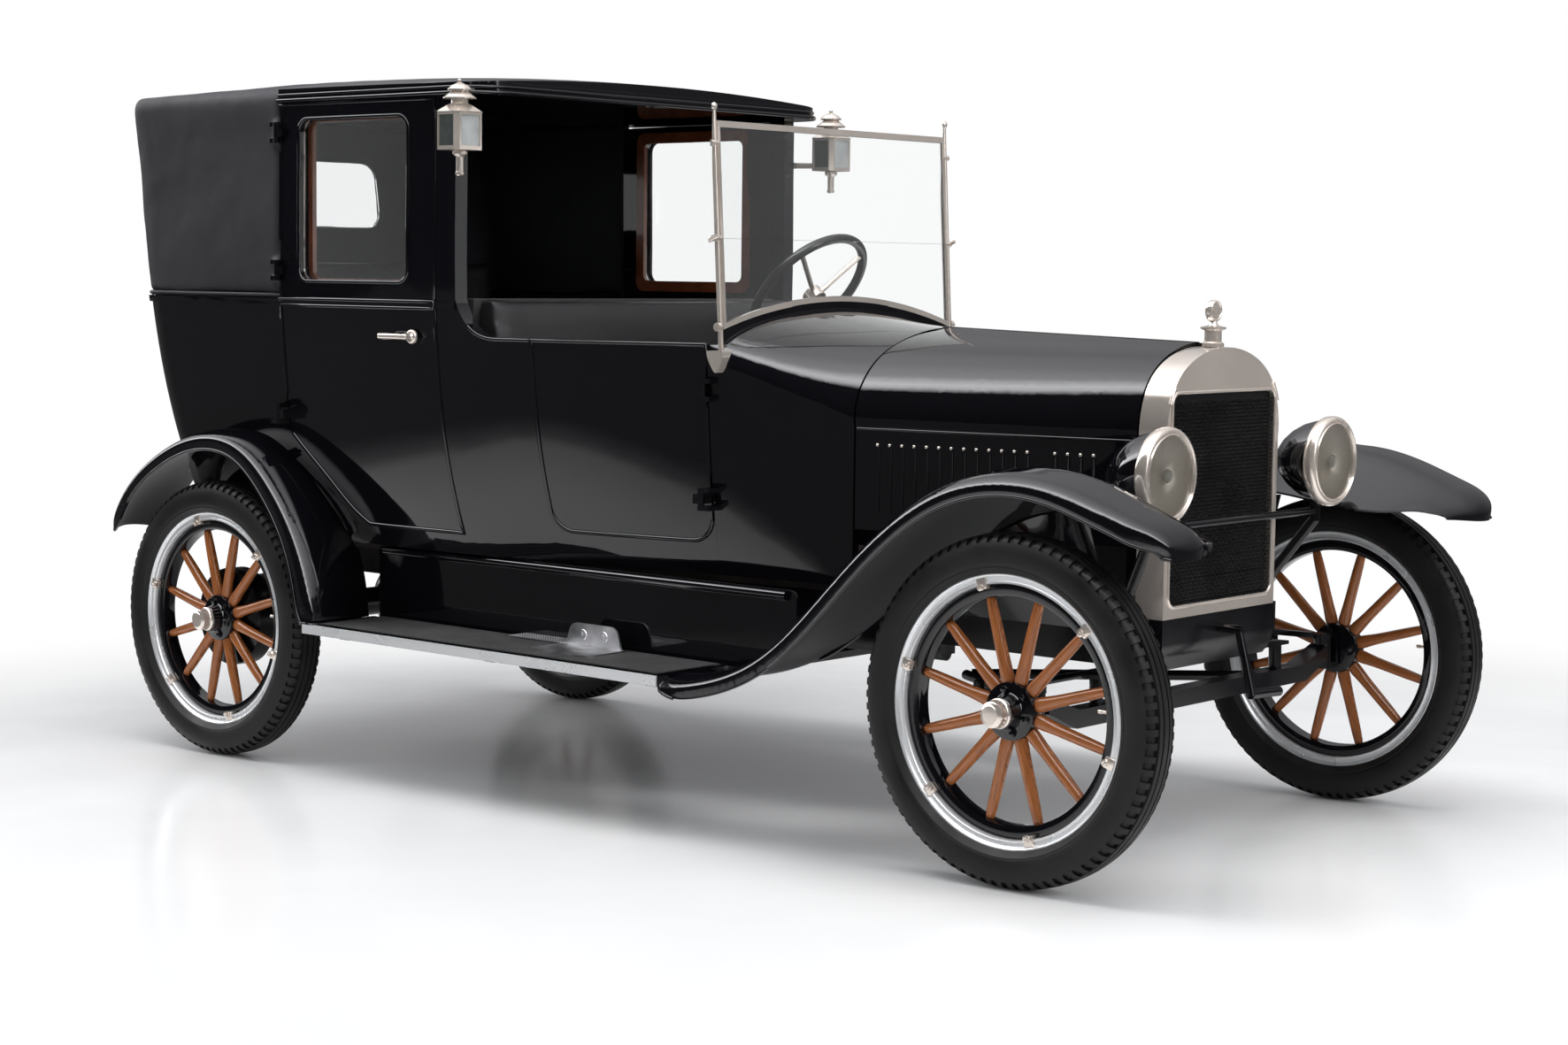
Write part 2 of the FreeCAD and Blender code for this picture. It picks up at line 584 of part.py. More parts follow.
bead_slab = box("bead_slab", (-FAR * 2, -FAR, d.bead_low), (d.pillar_front, FAR, d.bead_high))
bead_ring = cut("bead_ring", shell_solid("bead_outside", -d.bead_reach), shell_solid("bead_inside", 4, 1))
skin = fuse("beaded_skin", [shell("body_skin"), common("belt_bead", bead_ring, bead_slab)])
rear_opening = side_prism("rear_opening", rear_door_edges(d.door_gap), -FAR)
front_opening = side_prism("front_opening", front_door_edges(d.door_gap), -FAR)
window_hole = side_prism("window_hole", window_edges(0))

# Tub: everything below the belt, with the centre pillars and the scooped front sides
pillar_top = d.rail_top
tub_outline = [line((d.front_door_front, d.body_bottom), (d.front_door_front, d.front_side_top)),
               line((d.front_door_front, d.front_side_top), (-331, d.front_side_top)),
               spline([(-331, d.front_side_top), (-400, 1203), (d.pillar_front, d.belt)]),
               line((d.pillar_front, d.belt), (d.pillar_front, pillar_top)),
               line((d.pillar_front, pillar_top), (d.pillar_rear, pillar_top)),
               line((d.pillar_rear, pillar_top), (d.pillar_rear, d.belt)),
               line((d.pillar_rear, d.belt), (-FAR * 2, d.belt)),
               line((-FAR * 2, d.belt), (-FAR * 2, d.body_bottom)),
               line((-FAR * 2, d.body_bottom), (d.front_door_front, d.body_bottom))]
tub = common("tub_blank", skin, side_prism("tub_side", tub_outline, -FAR))
tub = cut("tub_rear_doors", tub, rear_opening)
tub = cut("tub_front_doors", tub, front_opening)
lower_halves = [b for b in body_halves if b.Placement.Base.z < d.belt and "front_hinge" not in b.Name]
both = []
for half in lower_halves:
    both += [half, mirror(half.Name + "_right", half)]
node("body_tub", fuse("body_tub", [tub] + both), SPRUNG)

# Leather-covered upper quarter and back, with its window
upper_edges = lines([(-FAR * 2, d.belt), (d.rear_door_rear, d.belt), (d.rear_door_rear, d.rail_top),
                     (-FAR * 2, d.rail_top)])
upper = common("upper_blank", skin, side_prism("upper_side", upper_edges, -FAR))
back_points = [(-275, 1497), (275, 1497), (275, 1699), (-275, 1699)]
back_hole = extrude("back_hole", rounded(back_points, [50] * 4), V(-FAR * 2, 0, 0), ACROSS, 700)
upper = cut("upper_window", upper, back_hole)
upper_halves = [b for b in body_halves if b.Placement.Base.z >= d.belt]
both = []
for half in upper_halves:
    both += [half, mirror(half.Name + "_right", half)]
node("upper_quarter", fuse("upper_quarter", [upper] + both), SPRUNG)
grown = [(-275 + FIT, 1497 + FIT), (275 - FIT, 1497 + FIT), (275 - FIT, 1699 - FIT),
         (-275 + FIT, 1699 - FIT)]
pane_skin = cut("pane_skin", shell_solid("pane_outside", 18), shell_solid("pane_inside", 18 + d.glass, 1))
pane = common("rear_window", pane_skin, extrude("rear_pane", rounded(grown, [50 - FIT] * 4),
                                                V(-FAR * 2, 0, 0), ACROSS, 700))
node("rear_window", pane, SPRUNG)

# Doors
rear_blank = common("rear_door_blank", skin, side_prism("rear_door_side", rear_door_edges(0), 300))
rear_leaf = cut("rear_door_frame", rear_blank, window_hole)
handle = [rod("rear_handle_post", (-606, plan_half(-606) - 20, 1188), (-606, plan_half(-606) + 34, 1188), 9),
          rod("rear_handle_plate", (-606, plan_half(-606) - 10, 1188), (-606, plan_half(-606) + 5, 1188),
              17),
          rod("rear_handle_bar", (-606, plan_half(-606) + 30, 1188), (-703, plan_half(-703) + 30, 1188), 8)]
pair("rear_door", fuse("rear_door", [rear_leaf] + door_halves["rear"] + handle), SPRUNG)
door_glass = common("rear_door_glass", pane_skin, side_prism("door_pane", window_edges(-FIT), 300))
pair("rear_door_glass", door_glass, SPRUNG)
front_blank = common("front_door_blank", skin, side_prism("front_door_side", front_door_edges(0), 200))
pair("front_door", fuse("front_door", [front_blank] + door_halves["front"]), SPRUNG)


# Cowl: arched shell from the front doors to the hood
def cowl_edges(x, inset, low):
    share = max(0.0, (d.cowl_front - x) / (d.cowl_front - d.front_door_front))
    half = plan_half(x) - inset
    top = d.hood_top_rear + d.cowl_rise * share ** 1.6 - inset
    shoulder = d.hood_shoulder + d.cowl_swell * share - inset * 0.5
    side = [(half - tuck(z) * fade(x), z) for z in (low, 800, shoulder - 60)] + [(half, shoulder)]
    arch = [(half, shoulder), (half * 0.985, shoulder + (top - shoulder) * 0.30),
            (half * 0.83, shoulder + (top - shoulder) * 0.63),
            (half * 0.5, shoulder + (top - shoulder) * 0.88), (0, top)]
    full = arch + [(-y, z) for y, z in arch[-2::-1]]
    left = [(-y, z) for y, z in side]
    return [line(left[0], side[0]), spline(side), spline(full), spline(left[::-1])]


def cowl_solid(name, inset, extra):
    stations = (d.front_door_front + FIT - extra, 330, 430, 540, d.cowl_front + extra)
    return loft(name, [sketch("%s_%d" % (name, i), cowl_edges(x, inset, d.body_bottom - extra),
                              V(x, 0, 0), ACROSS) for i, x in enumerate(stations)])


cowl = cut("cowl_shell", cowl_solid("cowl_out", 0, 0), cowl_solid("cowl_in", d.cowl_wall, 1))
foot = box("driver_opening", (d.front_door_front - 10, -FAR, d.front_side_top),
           (d.shield_base_x - 14, FAR, 1400))
cowl = cut("cowl_open", cowl, foot)
front_halves = [b for b in body_halves if "front_hinge" in b.Name]
both = []
for half in front_halves:
    both += [half, mirror(half.Name + "_right", half)]
pin_slope = (d.hood_top_rear - d.hood_top_front) / (d.hood_front - d.hood_rear)


def hood_pin_z(x):
    """Height of the hood's hinge line."""
    return d.hood_top_rear - (x - d.hood_rear) * pin_slope


hood_pin = rod("hood_pin", (d.cowl_front - 12, 0, hood_pin_z(d.cowl_front - 12)),
               (d.radiator_rear - FIT, 0, hood_pin_z(d.radiator_rear)), d.hood_seam / 2 - FIT)
node("cowl", fuse("cowl", [cowl, hood_pin] + both), SPRUNG)


# Hood halves, hinged along the top centre line
def hood_edges(x, seam):
    share = (d.hood_front - x) / (d.hood_front - d.hood_rear)
    half = d.radiator_half + (d.cowl_half - d.radiator_half) * share
    top = d.hood_top_front + (d.hood_top_rear - d.hood_top_front) * share
    rise = top - d.hood_shoulder
    thick = d.hood_sheet

    def arch(w, rise, low):
        return [(w, low), (w * 0.985, low + rise * 0.30), (w * 0.83, low + rise * 0.63),
                (w * 0.5, low + rise * 0.88), (seam, low + rise)]
    out = arch(half, rise, d.hood_shoulder)
    into = arch(half - thick, rise - thick, d.hood_shoulder)
    return [line((half, d.hood_bottom), out[0]), spline(out), line(out[-1], into[-1]),
            spline(into[::-1]), line(into[0], (half - thick, d.hood_bottom)),
            line((half - thick, d.hood_bottom), (half, d.hood_bottom))]


def louvres(low_x, high_x, count):
    """Row of pressed louvres on the hood's upright side."""
    made = []
    for i in range(count):
        x = low_x + (high_x - low_x) * i / (count - 1)
        share = (d.hood_front - x) / (d.hood_front - d.hood_rear)
        y = d.radiator_half + (d.cowl_half - d.radiator_half) * share - 2
        made.append(rod("louvre_%d" % x, (x, y, d.louvre_low), (x, y, d.louvre_high), "louvre_radius"))
    return made


hood = loft("hood_shell", [sketch("hood_section_%d" % i, hood_edges(x, d.hood_seam / 2), V(x, 0, 0),
                                 ACROSS) for i, x in enumerate((d.hood_rear, d.hood_front))])
hood = fuse("hood_half", [hood] + louvres(717, 1112, 13) + louvres(1182, 1279, 4))
pair("hood", hood, SPRUNG)


# Radiator
def radiator_edges(half, bottom, top, arch_rise):
    low = top - arch_rise
    arch = [(half, low), (half * 0.985, low + arch_rise * 0.30), (half * 0.83, low + arch_rise * 0.66),
            (half * 0.5, low + arch_rise * 0.90), (0, top)]
    full = arch + [(-y, z) for y, z in arch[-2::-1]]
    return [line((-half, bottom), (half, bottom)), line((half, bottom), (half, low)), spline(full),
            line((-half, low), (-half, bottom))]


shell_block = extrude("radiator_block", radiator_edges(d.radiator_half, d.radiator_bottom,
                      d.radiator_top, 215), V(d.radiator_rear, 0, 0), ACROSS, "radiator_depth")


def grille_edges(gap):
    half, low, high = d.grille_half - gap, d.grille_bottom + gap, d.grille_top - gap
    return rounded([(-half, low), (half, low), (half, high), (-half, high)], [d.grille_corner - gap] * 4)


opening = extrude("radiator_opening", grille_edges(0), V(d.radiator_rear - 5, 0, 0), ACROSS,
                  d.radiator_depth + 10)
node("radiator_shell", cut("radiator_shell", shell_block, opening), SPRUNG)
core_block = extrude("core_block", grille_edges(FIT), V(d.radiator_rear + d.core_inset, 0, 0), ACROSS,
                     d.radiator_depth - 2 * d.core_inset)
core_face = d.radiator_rear + d.radiator_depth - d.core_inset
pitch = 2 * d.grille_half / d.core_ribs
ribbed = [(d.radiator_rear, -d.grille_half), (core_face - d.core_relief, -d.grille_half)]
for i in range(int(d.core_ribs)):
    ribbed.append((core_face, -d.grille_half + pitch * (i + 0.5)))
    ribbed.append((core_face - d.core_relief, -d.grille_half + pitch * (i + 1)))
ribbed.append((d.radiator_rear, d.grille_half))
core_ribs = extrude("core_ribs", lines(ribbed), V(0, 0, d.grille_bottom), FreeCAD.Rotation(),
                    d.grille_top - d.grille_bottom)
core_rod = rod("core_rod", (core_face, FIT - d.grille_half, d.grille_rod_z),
               (core_face, d.grille_half - FIT, d.grille_rod_z), 3)
node("radiator_core", fuse("radiator_core", [common("core_fins", core_block, core_ribs), core_rod]), SPRUNG)
cap_x = d.radiator_rear + d.radiator_depth / 2
cap_base = turned("cap_base", lines([(0, 0), (0, 26), (8, 26), (12, 20), (38, 20), (42, 30), (46, 30),
                                     (50, 12), (58, 8), (64, 8), (64, 0)]),
                  (cap_x, 0, d.radiator_top + FIT), (0, 0, 1))
gauge_radius = (d.cap_top - d.radiator_top - 60) / 2
gauge = rod("cap_gauge", (cap_x - 7, 0, d.cap_top - gauge_radius), (cap_x + 7, 0, d.cap_top - gauge_radius),
            gauge_radius)
cap = fuse("radiator_cap", [cap_base, gauge])
node("radiator_cap", cap, SPRUNG)
crank_x = d.radiator_rear + d.radiator_depth
apron_back, apron_low = FRONT_X + 30 + FIT, d.rail_bottom - 20
apron = extrude("front_apron", [
    line((apron_back, d.radiator_bottom - FIT), (crank_x, d.radiator_bottom - FIT)),
    line((crank_x, d.radiator_bottom - FIT), (crank_x, 525)),
    arc((crank_x, 525), (crank_x - 9, 486), (apron_back + 12, apron_low)),
    line((apron_back + 12, apron_low), (apron_back, apron_low)),
    line((apron_back, apron_low), (apron_back, d.radiator_bottom - FIT))],
    V(0, d.radiator_half, 0), ALONG, 2 * d.radiator_half)
crank = fuse("crank", [rod("crank_shaft", (crank_x + FIT, 0, 545), (1530, 0, 545), 11),
                       rod("crank_arm", (1520, 0, 545), (1560, 0, 392), 10),
                       rod("crank_grip", (1556, 0, 396), (1556, 130, 390), 12)])
node("front_apron", apron, SPRUNG)
node("crank", crank, SPRUNG)


# Lamps
def headlamp(name, grow=0.0):
    """Deep bowl, beaded rim and bulged lens, turned; grow gives the clearance for what it sits on."""
    rim, glass, sag = d.lamp_radius + grow, d.lamp_radius - 16, 9
    back = -d.lamp_depth - grow
    bulge = (glass ** 2 + sag ** 2) / (2 * sag)
    drop = bulge - math.sqrt(bulge ** 2 - (glass / 2) ** 2)
    edges = [line((back, 0), (back, 10)),
             spline([(back, 10), (back * 0.92, rim * 0.34), (back * 0.72, rim * 0.62),
                     (back * 0.38, rim * 0.84), (-20, rim * 0.92)]),
             line((-20, rim * 0.92), (-14, rim * 0.95)), arc((-14, rim * 0.95), (-3, rim), (8, rim * 0.94)),
             line((8, rim * 0.94), (4, glass)), arc((4, glass), (4 + sag - drop, glass / 2), (4 + sag, 0)),
             line((4 + sag, 0), (back, 0))]
    return turned(name, edges, (d.lamp_x, d.lamp_half, d.lamp_z), (1, 0, 0))


pair("headlamp", headlamp("headlamp"), SPRUNG)
bar_x = d.lamp_x - 45
foot_x = d.rail_front - 30
lamp_bar = fuse("lamp_bar", [
    rod("tie_bar", (bar_x, -d.lamp_half, 805), (bar_x, d.lamp_half, 805), 9),
    rod("lamp_post_left", (bar_x, d.lamp_half, 780), (bar_x, d.lamp_half, d.lamp_z), 13),
    rod("lamp_post_right", (bar_x, -d.lamp_half, 780), (bar_x, -d.lamp_half, d.lamp_z), 13),
    rod("lamp_strut_left", (bar_x, d.lamp_half, 786), (foot_x, d.rail_half, rail_top + 22), 13),
    rod("lamp_strut_right", (bar_x, -d.lamp_half, 786), (foot_x, -d.rail_half, rail_top + 22), 13),
    rod("lamp_foot_left", (foot_x, d.rail_half, rail_top + FIT), (foot_x, d.rail_half, rail_top + 34), 18),
    rod("lamp_foot_right", (foot_x, -d.rail_half, rail_top + FIT),
        (foot_x, -d.rail_half, rail_top + 34), 18)])
lamp_room = headlamp("lamp_room", FIT)
rooms = fuse("lamp_rooms", [lamp_room, mirror("lamp_room_right", lamp_room)])
node("lamp_bar", cut("seated_lamp_bar", lamp_bar, rooms), SPRUNG)


def side_lamp(name):
    """Coach lamp: glazed box under a stepped chimney, on a stem, with a bracket to the pillar."""
    low = sprung_z(d.side_lamp_x, d.side_lamp_bottom)
    x, y, long, wide = d.side_lamp_x, d.side_lamp_half, d.side_lamp_length / 2, d.side_lamp_width / 2
    box_low, box_high, slope_top = low + 65, low + 162, low + 182

    def ring(a, b, c):
        return lines([(c - a, -b), (a - c, -b), (a, c - b), (a, b - c), (a - c, b), (c - a, b), (-a, b - c),
                      (-a, c - b)])
    case = extrude(name + "_case", ring(long, wide, d.side_lamp_chamfer), V(x, y, box_low),
                   FreeCAD.Rotation(), box_high - box_low)
    roof = loft(name + "_roof", [
        sketch(name + "_eave", ring(long + 2, wide + 2, d.side_lamp_chamfer), V(x, y, box_high),
               FreeCAD.Rotation()),
        sketch(name + "_neck", ring(22, 24, 8), V(x, y, slope_top), FreeCAD.Rotation())])
    panes = []
    for i, (a, b) in enumerate(((long, 0), (-long, 0), (0, wide), (0, -wide))):
        half_x, half_y = (4, wide - 16) if a else (long - 14, 4)
        panes.append(box("%s_pane_%d" % (name, i), (x + a - half_x, y + b - half_y, box_low + 10),
                         (x + a + half_x, y + b + half_y, box_high - 8)))
    stack = turned(name + "_stack", lines([(0, 0), (0, 8), (3, 11), (9, 11), (11, 9.5), (48, 9.5), (50, 13),
                   (55, 18.5), (62, 18.5), (66, 14), (170, 14), (180, 25), (186, 22), (194, 22), (195, 43),
                   (198, 43), (213, 24), (216, 24), (217, 31), (220, 31), (229, 22), (235, 9), (237, 4.5),
                   (243, 5.5), (246, 3), (246, 0)]), (x, y, low), (0, 0, 1))
    arm = rod(name + "_arm", (x - 30, y - 30, low + 80),
              (d.pillar_front - 8, plan_half(d.pillar_front) - 6, low + 80), 9)
    glazed = cut(name + "_glazed", case, fuse(name + "_panes", panes))
    return fuse(name, [glazed, roof, stack, arm])


lamp_left = side_lamp("side_lamp")
trim = cut("side_lamp_seated", lamp_left, shell_solid("lamp_clear", -FIT))
pair("side_lamp", trim, SPRUNG)

# Windshield: leaning frame with a split pane and end posts
lean = FreeCAD.Rotation(V(0, 1, 0), -d.shield_lean)
shield = FreeCAD.Placement(V(d.shield_base_x, 0, d.shield_base_z), lean)
rise = d.shield_top - d.shield_base_z


def shield_edges(half, low_end, low_mid, top):
    return [arc((-half, low_end), (0, low_mid), (half, low_end)), line((half, low_end), (half, top)),
            line((half, top), (-half, top)), line((-half, top), (-half, low_end))]


depth_half = d.shield_depth / 2
low_end = d.hood_shoulder + d.cowl_swell + 85 - d.shield_base_z
low_mid = d.hood_top_rear + d.cowl_rise + 8 - d.shield_base_z
split = d.shield_split - d.shield_base_z
inner_half = d.shield_half - d.shield_side
ring = extrude("shield_ring", shield_edges(d.shield_half, low_end, low_mid, rise), V(-depth_half, 0, 0),
               ACROSS, "shield_depth")
hole = extrude("shield_hole", shield_edges(inner_half, low_end + d.shield_bar, low_mid + d.shield_bar,
                                           rise - d.shield_bar), V(-FAR / 2, 0, 0), ACROSS, FAR)
framed = cut("shield_open", ring, hole)
post_y = d.shield_half + d.shield_post - 1
foot_edges = [line((-26, 4), (26, 4)), spline([(26, 4), (22, -28), (4, -52), (-16, -30), (-26, 4)])]
posts = []
for side in (-1, 1):
    base_y = side * post_y
    posts.append(rod("shield_post_%d" % side, (0, base_y, -8), (0, base_y, rise + 30), "shield_post"))
    posts.append(turned("shield_finial_%d" % side, [arc((0, 0), (11, 11), (22, 0)), line((22, 0), (0, 0))],
                        (0, base_y, rise + 24), (0, 0, 1)))
    posts.append(rod("shield_swivel_%d" % side, (0, side * (inner_half + 2), split),
                     (0, base_y + side * 16, split), 8))
    posts.append(rod("shield_clamp_%d" % side, (0, side * inner_half + side * 2, rise - 56),
                     (0, base_y + side * 14, rise - 56), 8))
    posts.append(rod("shield_wing_%d" % side, (-18, base_y + side * 13, split - 6),
                     (18, base_y + side * 13, split + 6), 5))
    posts.append(rod("shield_knob_%d" % side, (0, base_y + side * 2, 62), (0, base_y + side * 14, 62), 11))
    posts.append(extrude("shield_foot_%d" % side, foot_edges, V(0, max(side * 458, side * 496), 0),
                         ALONG, 38))
frame_made = fuse("shield_frame", [framed] + posts)
frame_made.Placement = shield
seated = cut("shield_on_cowl", frame_made, cowl_solid("shield_clear", -FIT, 0))
node("windshield_frame", cut("windshield_frame", seated, shell_solid("tub_clear", -FIT)), SPRUNG)
lower_pane = shield_edges(inner_half - FIT, low_end + d.shield_bar + FIT, low_mid + d.shield_bar + FIT,
                          split - FIT)
upper_pane = [(FIT - inner_half, split + FIT), (inner_half - FIT, split + FIT),
              (inner_half - FIT, rise - d.shield_bar - FIT), (FIT - inner_half, rise - d.shield_bar - FIT)]
panes = fuse("windshield_glass", [
    extrude("pane_lower", lower_pane, V(-d.glass / 2, 0, 0), ACROSS, "glass"),
    extrude("pane_upper", lines(upper_pane), V(-d.glass / 2, 0, 0), ACROSS, "glass")])
panes.Placement = shield
node("windshield_glass", panes, SPRUNG)


# Roof: crowned, with rounded corners in plan
def roof_edges(middle, edge):
    """Section with upright sides, a tight edge radius and one arc over the top."""
    half, bend = d.roof_half + 20, 12
    soft = bend * (1 - math.sqrt(0.5))
    low, shy = d.rail_top, edge - bend
    return [line((-half, low), (half, low)), line((half, low), (half, shy)),
            arc((half, shy), (half - soft, edge - soft), (half - bend, edge)),
            arc((half - bend, edge), (0, middle), (bend - half, edge)),
            arc((bend - half, edge), (soft - half, edge - soft), (-half, shy)),
            line((-half, shy), (-half, low))]


def roof_row(x):
    """Crown and edge height at one station, highest over the rear door."""
    share = ((x - d.roof_peak) / (d.roof_front - d.roof_peak)) ** 2
    edge = d.rail_top + d.roof_edge - d.roof_edge_fall * share
    return edge + d.roof_crown - d.roof_crown_fall * share, edge


roof_stations = [d.roof_front + 10 + (d.roof_rear - d.roof_front - 20) * i / 4 for i in range(5)]
roof_loft = loft("roof_loft", [sketch("roof_section_%d" % i, roof_edges(*roof_row(x)), V(x, 0, 0), ACROSS)
                               for i, x in enumerate(roof_stations)])


def roof_plan(name, grow, low, high):
    """Upright block with the roof's plan outline, grown outwards."""
    half, front = d.roof_half + grow, d.roof_front + grow
    corners = [(d.roof_rear, -half), (front, -half), (front, half), (d.roof_rear, half)]
    radii = [d.corner_radius, d.roof_corner + grow, d.roof_corner + grow, d.corner_radius]
    return extrude(name, rounded(corners, radii), V(0, 0, low), FreeCAD.Rotation(), high - low)


roof_seam = d.rear_door_rear
front_half = box("roof_front_half", (roof_seam, -FAR, d.rail_top - 10), (FAR, FAR, d.rail_top + 400))
rear_half = box("roof_rear_half", (-FAR * 2, -FAR, d.rail_top - 10),
                (roof_seam - FIT, FAR, d.rail_top + 400))
roof_top = common("roof_top", roof_loft, roof_plan("roof_block", 0, d.rail_top - 10, d.rail_top + 400))
drip = roof_plan("roof_drip", d.drip_reach, d.rail_top, d.rail_top + d.drip_height)
node("roof", common("roof", fuse("roof_dripped", [roof_top, drip]), front_half), SPRUNG)

# Leather back of the roof: the quarter's outline drawn in as it rises, under the same crown
shoulder = ((0, 0), (12, 1.5), (24, 6), (34, 14), (43, 26), (50, 42), (56, 64), (64, 100), (76, 160),
            (96, 240))
pillow = loft("quarter_pillow", [sketch("quarter_level_%d" % i, level_outline(d.rail_top + up_by, inset),
                                        V(0, 0, d.rail_top + up_by), FreeCAD.Rotation())
                                 for i, (up_by, inset) in enumerate(shoulder)])
pillow.Ruled = True
leather_top = common("leather_under_crown", pillow, roof_loft)
node("quarter_top", common("quarter_top", leather_top, rear_half), SPRUNG)


# Fenders: a crowned sheet between two smooth surfaces, set out at even steps along its edge line
def sheet_solid(top, low):
    """Closed solid between two grids of points."""
    faces, rims = [], []
    for grid in (top, low):
        surface = Part.BSplineSurface()
        surface.interpolate(grid)
        faces.append(surface.toShape())
        first, last, left, right = surface.bounds()
        rims.append([surface.uIso(first), surface.uIso(last), surface.vIso(left), surface.vIso(right)])
    walls = [Part.makeRuledSurface(a.toShape(), b.toShape(), 1) for a, b in zip(*rims)]
    closed = Part.makeShell(faces + walls)
    closed.sewShape()
    solid = Part.makeSolid(closed)
    if solid.Volume < 0:
        solid.reverse()
    return solid


def fender_grid(rows, shares):
    """Sections across the sheet at these shares of its edge line, as (top points, under points).

    Rows hold x, z of the outer edge, the outer and inner half-widths, and the inner drop.
    """
    curve = Part.BSplineCurve()
    curve.interpolate([V(row[0], 0, row[1]) for row in rows])
    path = curve.toShape()
    marks = [curve.parameter(V(row[0], 0, row[1])) for row in rows]
    grid = []
    for share_along in shares:
        lip = min(d.fender_lip, d.fender_tip + path.Length * min(share_along, 1 - share_along) / 4)
        at = path.getParameterByLength(path.Length * share_along)
        j = max(k for k in range(len(rows) - 1) if marks[k] <= at + 1e-9)
        share = (at - marks[j]) / (marks[j + 1] - marks[j])
        edge, inside, drop = (a + (b - a) * share for a, b in zip(rows[j][2:], rows[j + 1][2:]))
        way, place, wide = path.tangentAt(at), path.valueAt(at), edge - inside
        if not share_along and rows[0][1] < d.board_top:
            way = V(1, 0, 0)
        outward = V(-way.z, 0, way.x)
        crown = [(edge, -lip), (edge, -4 - lip * 0.55), (edge - 2, -8), (edge - 9, 0), (edge - 22, 6),
                 (edge - wide * 0.2, 13), (edge - wide * 0.42, 17), (edge - wide * 0.68, 10 - drop * 0.4),
                 (edge - wide * 0.86, 2 - drop * 0.72), (inside, -drop)]
        profile = Part.BSplineCurve()
        profile.interpolate([V(0, y, rise) for y, rise in crown])
        top, low = [], []
        for point in profile.discretize(15):
            run = profile.tangent(profile.parameter(point))[0]
            top.append(place + V(0, point.y, 0) + outward * point.z)
            low.append(top[-1] - (V(0, run.z, 0) - outward * run.y).normalize() * d.fender_sheet)
        grid.append((top, low, way))
    return grid


def fender(name, grid):
    made = doc.addObject("Part::Feature", name)
    made.Shape = sheet_solid([top for top, low, way in grid], [low for top, low, way in grid])
    return made


def skirt(name, grid):
    """Inner skirt from the fender's inner edge down to the frame rail."""
    top, low = [], []
    for row, under, way in grid:
        start = under[-1] - (row[-1] - under[-1]).normalize() * 2 * FIT
        if d.skirt_rear < start.x < d.rail_front - 40:
            foot = V(start.x, outer + d.skirt_sheet / 2 + FIT, rail_top - 20)
            normal = (foot - start).cross(way).normalize()
            bow = (start + foot) / 2 + normal * d.skirt_bow
            top.append([start, bow, foot])
            low.append([p - normal * d.skirt_sheet for p in top[-1]])
    made = doc.addObject("Part::Feature", name)
    made.Shape = sheet_solid(top, low)
    return made


edge = d.fender_edge
front_rows = [(d.board_front + FIT, d.board_top - 18, edge, d.board_inner, 0),
              (560, 408, edge, 537, 4), (699, 471, edge, 528, 10), (833, 582, edge, 490, 20),
              (962, 711, edge, 470, 40), (1088, 820, edge, 450, 60), (1235, 904, edge, 430, 75),
              (1370, 934, edge, 420, 96), (1517, 925, edge, 420, 112), (1653, 882, edge - 4, 445, 80),
              (1735, 851, edge - 12, 486, 40), (1776, 828, edge - 30, 512, 30),
              (1790, 808, edge - 44, 530, 24), (1792, 785, edge - 52, 540, 20)]
front_shares = [i / 17 for i in range(16)] + [0.915, 0.94, 0.958, 0.972, 0.985, 1.0]
front_grid = fender_grid(front_rows, front_shares)
pair("front_fender", fender("front_fender", front_grid), SPRUNG)
pair("front_skirt", skirt("front_skirt", front_grid), SPRUNG)
rear_rows = [(-1872, 591, edge - 30, 560, 10), (-1817, 668, edge - 8, 560, 6), (-1729, 751, edge, 560, 0),
             (-1579, 841, edge, 560, -6), (-1392, 890, edge, 560, -8), (-1244, 868, edge, 560, -6),
             (-1115, 775, edge, 560, 0), (-1020, 655, edge, 560, 2), (-964, 525, edge, 560, 2),
             (d.board_rear - FIT, d.board_top, edge, 560, 2)]
rear_sheet = fender("rear_fender_sheet", fender_grid(rear_rows, [i / 16 for i in range(17)]))
rear_sheet = cut("rear_fender", rear_sheet, shell_solid("fender_clear", -FIT, 20))
pair("rear_fender", rear_sheet, SPRUNG)

# Running boards with the aprons behind them
board = box("board", (d.board_rear, d.board_inner, board_low), (d.board_front, d.board_half, d.board_top))
mat_low = (d.board_rear + d.mat_rear_gap, d.board_inner + d.mat_side_gap)
mat_high = (d.board_front - d.mat_side_gap, d.board_half - d.mat_side_gap)
mat = box("board_mat", (*mat_low, d.board_top - 1), (*mat_high, d.board_top + d.mat_thick))
step_low, step_high = d.board_inner + 40, d.board_half - 70
step_room = box("step_room", (d.step_rear - FIT, step_low - FIT, d.board_top),
                (d.step_front + FIT, step_high + FIT, d.board_top + 40))
mat = cut("board_mat_cut", mat, step_room)
strip = box("board_strip", (d.board_rear + d.mat_rear_gap, d.board_half - 1, board_low + 3),
            (d.board_front, d.board_half + 3, d.board_top + 2))
apron_edges = rounded([(d.board_rear + 10, d.board_top - 2), (d.board_front + 210, d.board_top - 2),
                       (d.board_front + 210, d.body_bottom - 4), (d.board_rear + 10, d.body_bottom - 4)],
                      [0, 120, 20, 20])
apron = side_prism("apron", apron_edges, d.board_inner - 22, d.board_inner - 22 + d.apron_sheet)
link = box("apron_foot", (d.board_rear + 20, d.board_inner - 22, d.board_top - d.apron_sheet),
           (d.board_front - 10, d.board_inner + 4, d.board_top))
pair("running_board", fuse("running_board", [board, mat, strip, apron, link]), SPRUNG)

